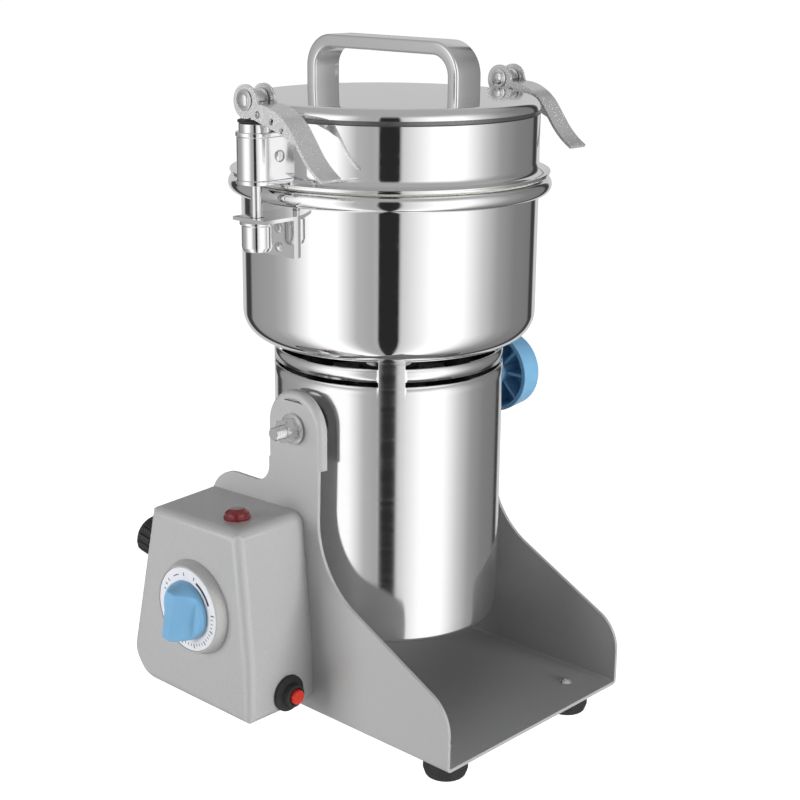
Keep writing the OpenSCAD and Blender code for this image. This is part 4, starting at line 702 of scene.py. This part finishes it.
softened("catchBrackets", "catch_brackets", "mill", handSteel, 0.45, segments=3)
socketLook = {"low": 293.8, "foot": 7.3, "radius": 8.3, "footHigh": 296.2, "neckHigh": 307.9, "lip": 9.3,
              "lipLow": 308.5, "high": 310.0, "floor": 297.0}


def socketLine(look):
    # Profile: a foot, a straight cup and a lip outside, then down the bore to its floor
    return roundedLine([(0, look["low"]), (look["foot"], look["low"]), (look["radius"], look["footHigh"]),
                        (look["radius"], look["neckHigh"]), (look["lip"], look["lipLow"]),
                        (look["lip"], look["high"]), (bore, look["high"]), (bore, look["floor"]),
                        (0, look["floor"])], [0, 0.8, 1.0, 0.6, 0.5, 0.3, 0.3, 0, 0], 5)


makePiece("catchSockets", onRod(socketLine(socketLook), False), "mill", handSteel,
          ["catch_sockets"])
catchHead = domeHead(rivetLook["catchRadius"], rivetLook["catchRise"])
heads = [faced(catchHead, alongLeft, (-rivetLook["catchX"], 0, z)) for z in rivetLook["catchHeights"]]
makePiece("catchRivets", bothSides(together(*heads)), "mill", smallSteel,
          ["catch_rivets"])
print("latches done")


# Tilt pivot and lock knob

pivotLook = {"z": 188.0, "stud": 4.0, "thread": 3.95, "pitch": 1.25, "threadDeep": 0.4, "endDeep": 0.5,
             "start": 66.5, "threadFrom": 80.0, "leftEnd": 94.0, "rightEnd": 111.2, "head": 7.0,
             "headLow": 62.4, "headHigh": 66.3, "headEdge": 0.6, "outer": 78.6, "bore": 4.05,
             "washer": 9.0, "washerThick": 1.6, "nut": 7.5, "nutHigh": 6.5, "nutTurn": 18}


def threadRod(look, around=48):
    # Radius = R - deep * |2 frac(z / pitch + angle / turn) - 1|, so the groove climbs round;
    # eight rows of points to a turn, and the last half millimetre tapers
    low, high, pitch = look["threadFrom"], look["leftEnd"], look["pitch"]
    rows = int((high - low) / pitch * 8)
    z = np.linspace(low, high, rows)
    a = np.linspace(0, 2 * np.pi, around, endpoint=False)[:, None]
    wave = abs(2 * ((z / pitch + a / (2 * np.pi)) % 1) - 1)
    r = look["thread"] - look["threadDeep"] * wave
    r = np.minimum(r, look["thread"] - look["endDeep"] + np.minimum(high - z, look["endDeep"]))
    verts = np.stack([r * np.cos(a), r * np.sin(a), z + 0 * a], -1).reshape(-1, 3)
    faces = gridFaces(around, rows, True).tolist()
    faces += [(np.arange(around) * rows).tolist(), (np.arange(around) * rows + rows - 1).tolist()]
    return verts, faces


pivot = pivotLook
axle = (0, 0, pivot["z"])
studHead = plainRod(pivot["head"], pivot["headLow"], pivot["headHigh"], 48, pivot["headEdge"])
plainPart = plainRod(pivot["stud"], pivot["start"], pivot["threadFrom"])
leftStud = together(threadRod(pivot), plainPart, studHead)
rightStud = together(plainRod(pivot["stud"], pivot["start"], pivot["rightEnd"]), studHead)
makePiece("pivotStuds", together(faced(leftStud, alongLeft, axle), faced(rightStud, alongX, axle)),
          "mill", smallSteel, ["pivot_studs"], 25)

ringBand = bandLine(pivot["bore"], pivot["washer"], 0, pivot["washerThick"], [0, 0.3, 0.3, 0])
washerRing = shifted(turned(ringBand, 72, True), (0, 0, pivot["outer"]))
nut = shifted(faced(hexNut(pivot["nut"], pivot["nutHigh"], pivot["bore"]), turnZ(pivot["nutTurn"])),
              (0, 0, pivot["outer"] + pivot["washerThick"]))
nuts = together(faced(washerRing, alongLeft, axle), faced(washerRing, alongX, axle),
                faced(nut, alongLeft, axle))
makePiece("pivotNut", nuts, "mill", smallSteel, ["pivot_nut"], 25)
softened("lockKnob", "lock_knob", "lock", bluePlastic, 0.6, segments=3)
print("pivot done")


# Control box

softened("controlCover", "control_cover", "stand", silverPaint, 0.3, segments=2, crease=60)

timerLook = {"x": -128.0, "y": 30.5, "z": 85.0, "bore": 3.4, "ring": 28.5, "ringFace": 26.2,
             "ringHigh": 6.5, "hollow": 25.05, "hollowLow": 5.1, "dial": 24.9, "dialLow": 5.15,
             "dialHigh": 6.15, "knob": 17.5, "knobHigh": 14.5, "skirt": 4.06, "gripLow": 11.5,
             "gripHigh": 3.6, "turn": 11.0, "base": 6.5, "soft": 2.2, "creaseWide": 0.6,
             "edge": 1.4, "lean": 0.11, "flatPast": 0.4, "shaft": 3.0, "shaftLow": -16.0,
             "shaftHigh": 1.0}
timer = timerLook
timerSpot = (timer["x"], timer["y"], timer["z"])
ringLine = roundedLine([(timer["bore"], 0), (timer["ring"], 0), (timer["ringFace"], timer["ringHigh"]),
                        (timer["hollow"], timer["ringHigh"]), (timer["hollow"], timer["hollowLow"]),
                        (timer["bore"], timer["hollowLow"])], [0, 0.2, 0.5, 0.2, 0, 0], 8)
makePiece("timerRing", faced(turned(ringLine, 144, True), alongLeft, timerSpot), "stand", ringPaint,
          ["timer_ring"])
dialLine = bandLine(timer["bore"], timer["dial"], timer["dialLow"], timer["dialHigh"], [0, 0.1, 0.25, 0])
makePiece("timerDial", faced(turned(dialLine, 144, True), alongLeft, timerSpot), "stand", dialWhite,
          ["timer_dial"])

markLook = {"ticks": 16, "from": -104.0, "to": 6.0, "inner": 20.6, "minor": 1.6, "major": 2.6,
            "wide": 0.5, "bold": 1.5, "every": 4, "lift": 6.17,
            "bars": [(19.2, 20.9, 22, 66), (20.2, 22.4, 72, 74), (20.2, 22.2, 96, 98),
                     (20.6, 21.2, 110, 124), (20.4, 22.2, 138, 140), (20.4, 22.2, 148, 150),
                     (20.4, 21.8, 158, 160)]}


def tickShape(look):
    # Each tick is a flat bar along its own radius; every fourth one is longer and bolder
    n = look["ticks"]
    a = np.radians(np.linspace(look["from"], look["to"], n + 1))
    big = (np.arange(n + 1) % look["every"]) == 0
    r1 = look["inner"] + np.where(big, look["major"], look["minor"])
    w = np.where(big, look["bold"], 1.0) * look["wide"] / 2
    r0 = np.full(n + 1, look["inner"])
    along = np.stack([np.cos(a), np.sin(a)], -1)
    across = np.stack([-np.sin(a), np.cos(a)], -1)
    corners = [along * r0[:, None] - across * w[:, None], along * r1[:, None] - across * w[:, None],
               along * r1[:, None] + across * w[:, None], along * r0[:, None] + across * w[:, None]]
    xy = np.stack(corners, 1).reshape(-1, 2)
    verts = np.concatenate([xy, np.full((len(xy), 1), look["lift"])], -1)
    return verts, np.arange(len(xy)).reshape(-1, 4)


def arcMark(inner, outer, start, end, lift, steps=24):
    # Flat band between two radii from one angle, in degrees, to another
    a = np.radians(np.linspace(start, end, steps))[:, None]
    r = np.array([inner, outer])
    verts = np.stack([r * np.cos(a), r * np.sin(a), lift + 0 * a + 0 * r], -1).reshape(-1, 3)
    return verts, gridFaces(steps, 2)


marks = together(tickShape(markLook), *[arcMark(*bar, markLook["lift"]) for bar in markLook["bars"]])
makePiece("dialMarks", faced(marks, alongLeft, timerSpot), "stand", dialInk, [],
          closed=False)


def timerKnobShape(look, rings=60, around=240):
    # Height = skirt, or the wedge grip where that is higher: it falls from the ridge at the
    # slope of its flanks; a soft maximum rounds the crease and the rim drops as a quarter round
    a = np.linspace(0, 2 * np.pi, around, endpoint=False)[:, None]
    s = np.linspace(0, 1, rings)
    radius, high, skirt, soft = look["knob"], look["knobHigh"], look["skirt"], look["soft"]
    r = radius * s
    x, y = r * np.cos(a), r * np.sin(a)
    slope = (high - skirt) / (look["gripLow"] - look["gripHigh"])
    across = np.sqrt(x ** 2 + look["creaseWide"])
    grip = high - slope * np.maximum(across - look["gripHigh"], -look["flatPast"])
    grip = -np.logaddexp(-grip * soft, -high * soft) / soft
    top = np.logaddexp(grip * soft, skirt * soft) / soft
    edge = look["edge"]
    drop = edge - np.sqrt(np.maximum(edge ** 2 - np.maximum(r - (radius - edge), 0) ** 2, 0))
    lift = top - drop
    lean = 1 - look["lean"] * np.clip(lift / high, 0, 1)
    upper = np.stack([x * lean, y * lean, lift], -1)
    low = np.linspace(1, 0, 9)[1:]
    rimHigh = lift[:, -1:]
    wallZ = rimHigh * low
    wallLean = radius * (1 - look["lean"] * np.clip(wallZ / high, 0, 1))
    sides = np.stack([wallLean * np.cos(a), wallLean * np.sin(a), wallZ], -1)
    verts = np.concatenate([upper, sides], 1)
    n, m = verts.shape[:2]
    faces = gridFaces(n, m, True).tolist()
    faces.append((np.arange(n) * m + m - 1).tolist())
    return verts.reshape(-1, 3), faces


knob = faced(timerKnobShape(timerLook), turnZ(-timer["turn"]))
shaft = plainRod(timer["shaft"], timer["shaftLow"], timer["shaftHigh"], 40, 0.2)
knobSpot = (timer["x"] - timer["base"], timer["y"], timer["z"])
makePiece("timerKnob", faced(together(knob, shaft), alongLeft, knobSpot), "timer", bluePlastic,
          ["timer_knob"], 40)

boxTopLook = {"frontY": -6.6, "frontHigh": 139.4, "drop": 3.2, "run": 80.8}
lensLook = {"x": 109.0, "y": 14.5, "low": -0.3, "radius": 7.9, "flange": 1.6, "neck": 7.3, "neckHigh": 2.0,
            "dome": 6.9, "domeHigh": 3.8, "crown": 4.2, "crownHigh": 5.9, "high": 6.0}


def onTop(shape, x, y, look=boxTopLook):
    # Height = front height - (y - front y) * drop / run; the shape leans back by that slope
    slope = look["drop"] / look["run"]
    high = look["frontHigh"] - (y - look["frontY"]) * slope
    return faced(shape, turnX(-math.degrees(math.atan(slope))), (-x, y, high))


lens = lensLook
lensLine = roundedLine([(0, lens["low"]), (lens["radius"], lens["low"]), (lens["radius"], lens["flange"]),
                        (lens["neck"], lens["neckHigh"]), (lens["dome"], lens["domeHigh"]),
                        (lens["crown"], lens["crownHigh"]), (0, lens["high"])],
                       [0, 0.2, 0.5, 0.2, 1.8, 2.6, 0], 6)
makePiece("lampLens", onTop(turned(lensLine, 72), lens["x"], lens["y"]), "stand", lampRed,
          ["lamp_lens"])

resetLook = {"x": -98.0, "y": -14.2, "z": 35.2, "bore": 4.75, "collar": 10.9, "collarHigh": 2.2,
             "step": 6.76, "stepLow": 2.7, "stepHigh": 7.4, "button": 4.4, "inside": -11.6, "out": 10.2}
reset = resetLook
resetSpot = (reset["x"], reset["y"], reset["z"])
collarLine = roundedLine([(reset["bore"], 0), (reset["collar"], 0), (reset["collar"], reset["collarHigh"]),
                          (reset["step"], reset["stepLow"]), (reset["step"], reset["stepHigh"]),
                          (reset["bore"], reset["stepHigh"])], [0, 0.3, 1.0, 0.6, 0.9, 0.5], 5)
makePiece("resetCollar", faced(turned(collarLine, 96, True), alongFront, resetSpot), "stand", blackRubber,
          ["reset_collar"])
buttonLine = bandLine(0, reset["button"], reset["inside"], reset["out"], [0, 0.3, 1.8, 0], 8)
makePiece("resetButton", faced(turned(buttonLine, 72), alongFront, resetSpot), "reset", buttonRed,
          ["reset_button"])
for name, node, body, width in (("switchFrame", "switch_frame", "stand", 0.35),
                                ("switchRocker", "switch_rocker", "rocker", 0.25),
                                ("glandBody", "gland_body", "stand", 0.3),
                                ("glandNut", "gland_nut", "stand", 0.3)):
    softened(name, node, body, blackPlastic, width)
print("control box done")


# Grinding parts, and nodes that stay as modelled

softened("bladeHub", "blade_hub", "rotor", leverSteel, 0.3)
softened("crossBlades", "blades", "rotor", leverSteel, 0.25)
softened("bladeNut", "blade_nut", "rotor", smallSteel, 0.5)

keptNodes = {
    "spunSteel": ["lid_pan"],
    "smallSteel": ["cover_screws", "bottom_screws", "bowl_screws", "bearings", "rotor_shaft",
                   "handle_screws"],
    "darkPlastic": ["pivot_bushes", "lamp_body", "reset_breaker", "barrel_bottom", "cooling_fan"],
    "creamPlastic": ["timer_body"],
    "sealRubber": ["lid_seal"],
    "blackRubber": ["shaft_seal"],
    "castMetal": ["lower_shield"],
    # upper shield near-black: painted shade seen through the vent slots
    "paintedShadeBlack": ["upper_shield"],
    "coreSteel": ["stator_core"],
    "copperWire": ["field_windings", "armature", "commutator"],
    "resinBoard": ["brush_gear"],
}
for finish, names in keptNodes.items():
    for name in names:
        nodes[name].data.materials.clear()
        nodes[name].data.materials.append(bpy.data.materials[finish])
print("kept nodes finished")


# Studio

studioLook = {"floor": 0.92, "floorReach": 60.0, "floorZ": -0.0001, "overhead": 0.36,
              "overheadFrom": 0.45, "overheadTo": 0.85, "floorLift": 0.93, "ambientSide": 0.22,
              "ambientTop": 0.05, "metalWhite": 1.2, "toCamera": (-0.7312, -0.6821, 0),
              "toRight": (0.6821, -0.7312, 0),
              "bands": [(-180, 0.47), (-152, 0.52), (-148, 0.05), (-137, 0.04), (-133, 0.26), (-100, 0.32),
                        (-86, 0.42), (-62, 0.98), (-40, 0.98), (-24, 0.42), (-13, 0.36), (-8.5, 0.4),
                        (-7.4, 0.02), (7.4, 0.02), (9.0, 0.55), (20, 0.76), (33, 1.0), (58, 1.0),
                        (76, 0.55), (92, 0.3), (112, 0.2), (138, 0.17), (142, 0.04), (150, 0.05),
                        (154, 0.54), (180, 0.47)]}


def buildWorld(look):
    # Seen directly it is white; metal and glass see upright bands by compass angle from the
    # camera, fading to an even level overhead; everything else gets an even pale light
    world = bpy.data.worlds.new("studio")
    bpy.context.scene.world = world
    world.use_nodes = True
    tree = world.node_tree
    tree.nodes.clear()
    new, link = tree.nodes.new, tree.links.new
    place = new("ShaderNodeTexCoord")

    def dot(vector):
        # How far the looked-at direction points along the vector
        node = new("ShaderNodeVectorMath")
        node.operation = "DOT_PRODUCT"
        node.inputs[1].default_value = vector
        link(place.outputs["Generated"], node.inputs[0])
        return node.outputs["Value"]

    def math2(kind, first, second):
        # Result of the named sum on two values or sockets
        node = new("ShaderNodeMath")
        node.operation = kind
        for socket, value in zip(node.inputs, (first, second)):
            if isinstance(value, (int, float)):
                socket.default_value = value
            else:
                link(value, socket)
        return node.outputs[0]

    turn = math2("ARCTAN2", dot(look["toRight"]), dot(look["toCamera"]))
    where = math2("MULTIPLY_ADD", turn, 1 / (2 * math.pi))
    where.node.inputs[2].default_value = 0.5
    ramp = new("ShaderNodeValToRGB")
    stops = ramp.color_ramp.elements
    while len(stops) > 1:
        stops.remove(stops[-1])
    for i, (angle, level) in enumerate(look["bands"]):
        spot = 0.5 + angle / 360
        stop = stops[0] if i == 0 else stops.new(spot)
        stop.position = spot
        stop.color = (level, level, level, 1)
    link(where, ramp.inputs["Fac"])
    up = dot((0, 0, 1))
    overhead = mapRange(tree, up, look["overheadFrom"], look["overheadTo"])
    overhead.interpolation_type = "SMOOTHSTEP"
    blend = new("ShaderNodeMix")
    blend.data_type = "RGBA"
    blend.inputs[7].default_value = (look["overhead"],) * 3 + (1,)
    link(overhead.outputs["Result"], blend.inputs[0])
    link(ramp.outputs["Color"], blend.inputs[6])

    def background(colour, strength):
        # Light = colour * strength
        node = new("ShaderNodeBackground")
        if isinstance(colour, tuple):
            node.inputs["Color"].default_value = colour
        else:
            link(colour, node.inputs["Color"])
        if isinstance(strength, (int, float)):
            node.inputs["Strength"].default_value = strength
        else:
            link(strength, node.inputs["Strength"])
        return node.outputs[0]

    ambient = mapRange(tree, up, 0, 1, look["ambientSide"], look["ambientTop"])
    rays = new("ShaderNodeLightPath")
    shiny = math2("MAXIMUM", rays.outputs["Is Glossy Ray"], rays.outputs["Is Transmission Ray"])
    first = new("ShaderNodeMixShader")
    link(shiny, first.inputs[0])
    link(background((1, 1, 1, 1), ambient.outputs["Result"]), first.inputs[1])
    link(background(blend.outputs[2], look["metalWhite"]), first.inputs[2])
    last = new("ShaderNodeMixShader")
    link(rays.outputs["Is Camera Ray"], last.inputs[0])
    link(first.outputs[0], last.inputs[1])
    link(background((1, 1, 1, 1), 1.0), last.inputs[2])
    link(last.outputs[0], new("ShaderNodeOutputWorld").inputs["Surface"])


buildWorld(studioLook)

floorMesh = bpy.data.meshes.new("floor")
reach, level = studioLook["floorReach"], studioLook["floorZ"]
floorMesh.from_pydata([(-reach, -reach, level), (reach, -reach, level), (reach, reach, level),
                       (-reach, reach, level)], [], [(0, 1, 2, 3)])
floor = bpy.data.objects.new("floor", floorMesh)
bpy.context.scene.collection.objects.link(floor)
paper = bpy.data.materials.new("paper")
paper.use_nodes = True
tree = paper.node_tree
tree.nodes.clear()
white = (studioLook["floor"],) * 3 + (1,)
# floor seen = lit paper + an even lift that only the camera sees, so its shadows stay
matt, glow = tree.nodes.new("ShaderNodeBsdfDiffuse"), tree.nodes.new("ShaderNodeEmission")
matt.inputs["Color"].default_value = white
glow.inputs["Color"].default_value = (1, 1, 1, 1)
rays = tree.nodes.new("ShaderNodeLightPath")
lift = tree.nodes.new("ShaderNodeMath")
lift.operation = "MULTIPLY"
lift.inputs[1].default_value = studioLook["floorLift"]
tree.links.new(rays.outputs["Is Camera Ray"], lift.inputs[0])
tree.links.new(lift.outputs[0], glow.inputs["Strength"])
both = tree.nodes.new("ShaderNodeAddShader")
tree.links.new(matt.outputs[0], both.inputs[0])
tree.links.new(glow.outputs[0], both.inputs[1])
tree.links.new(both.outputs[0], tree.nodes.new("ShaderNodeOutputMaterial").inputs["Surface"])
floorMesh.materials.append(paper)
floor.visible_glossy = False

# Each lamp: its place in metres, its watts and its size; all look at the middle of the mill
lampsLook = {"left": ((-1.3, 0.6, 0.3), 17.0, 0.8), "right": ((0.2, -1.5, 0.14), 27.0, 0.6),
             "above": ((-0.3, -0.3, 1.7), 0.8, 1.2)}
lampAim = Vector((0, 0, 0.18))
for name, (spot, power, size) in lampsLook.items():
    light = bpy.data.lights.new(name, "AREA")
    light.energy = power
    light.size = size
    lamp = bpy.data.objects.new(name, light)
    bpy.context.scene.collection.objects.link(lamp)
    lamp.location = spot
    lamp.rotation_mode = "QUATERNION"
    lamp.rotation_quaternion = (lampAim - Vector(spot)).to_track_quat("-Z", "Y")
    lamp.visible_glossy = False

# The camera stands where the photograph was taken from: its right, up and back directions
# and its place in metres are the matrix's columns
camera = bpy.data.objects.new("camera", bpy.data.cameras.new("camera"))
bpy.context.scene.collection.objects.link(camera)
camera.data.lens = 72
camera.data.sensor_width = 36
camera.data.clip_start = 0.05
camera.data.clip_end = 200
camera.matrix_world = Matrix(((0.68410, 0.19651, -0.70242, -0.656150),
                              (-0.72933, 0.19675, -0.65526, -0.622330),
                              (0.00944, 0.96056, 0.27791, 0.457000),
                              (0, 0, 0, 1)))
bpy.context.scene.camera = camera
bpy.context.scene.view_settings.view_transform = "Standard"
print("studio done")
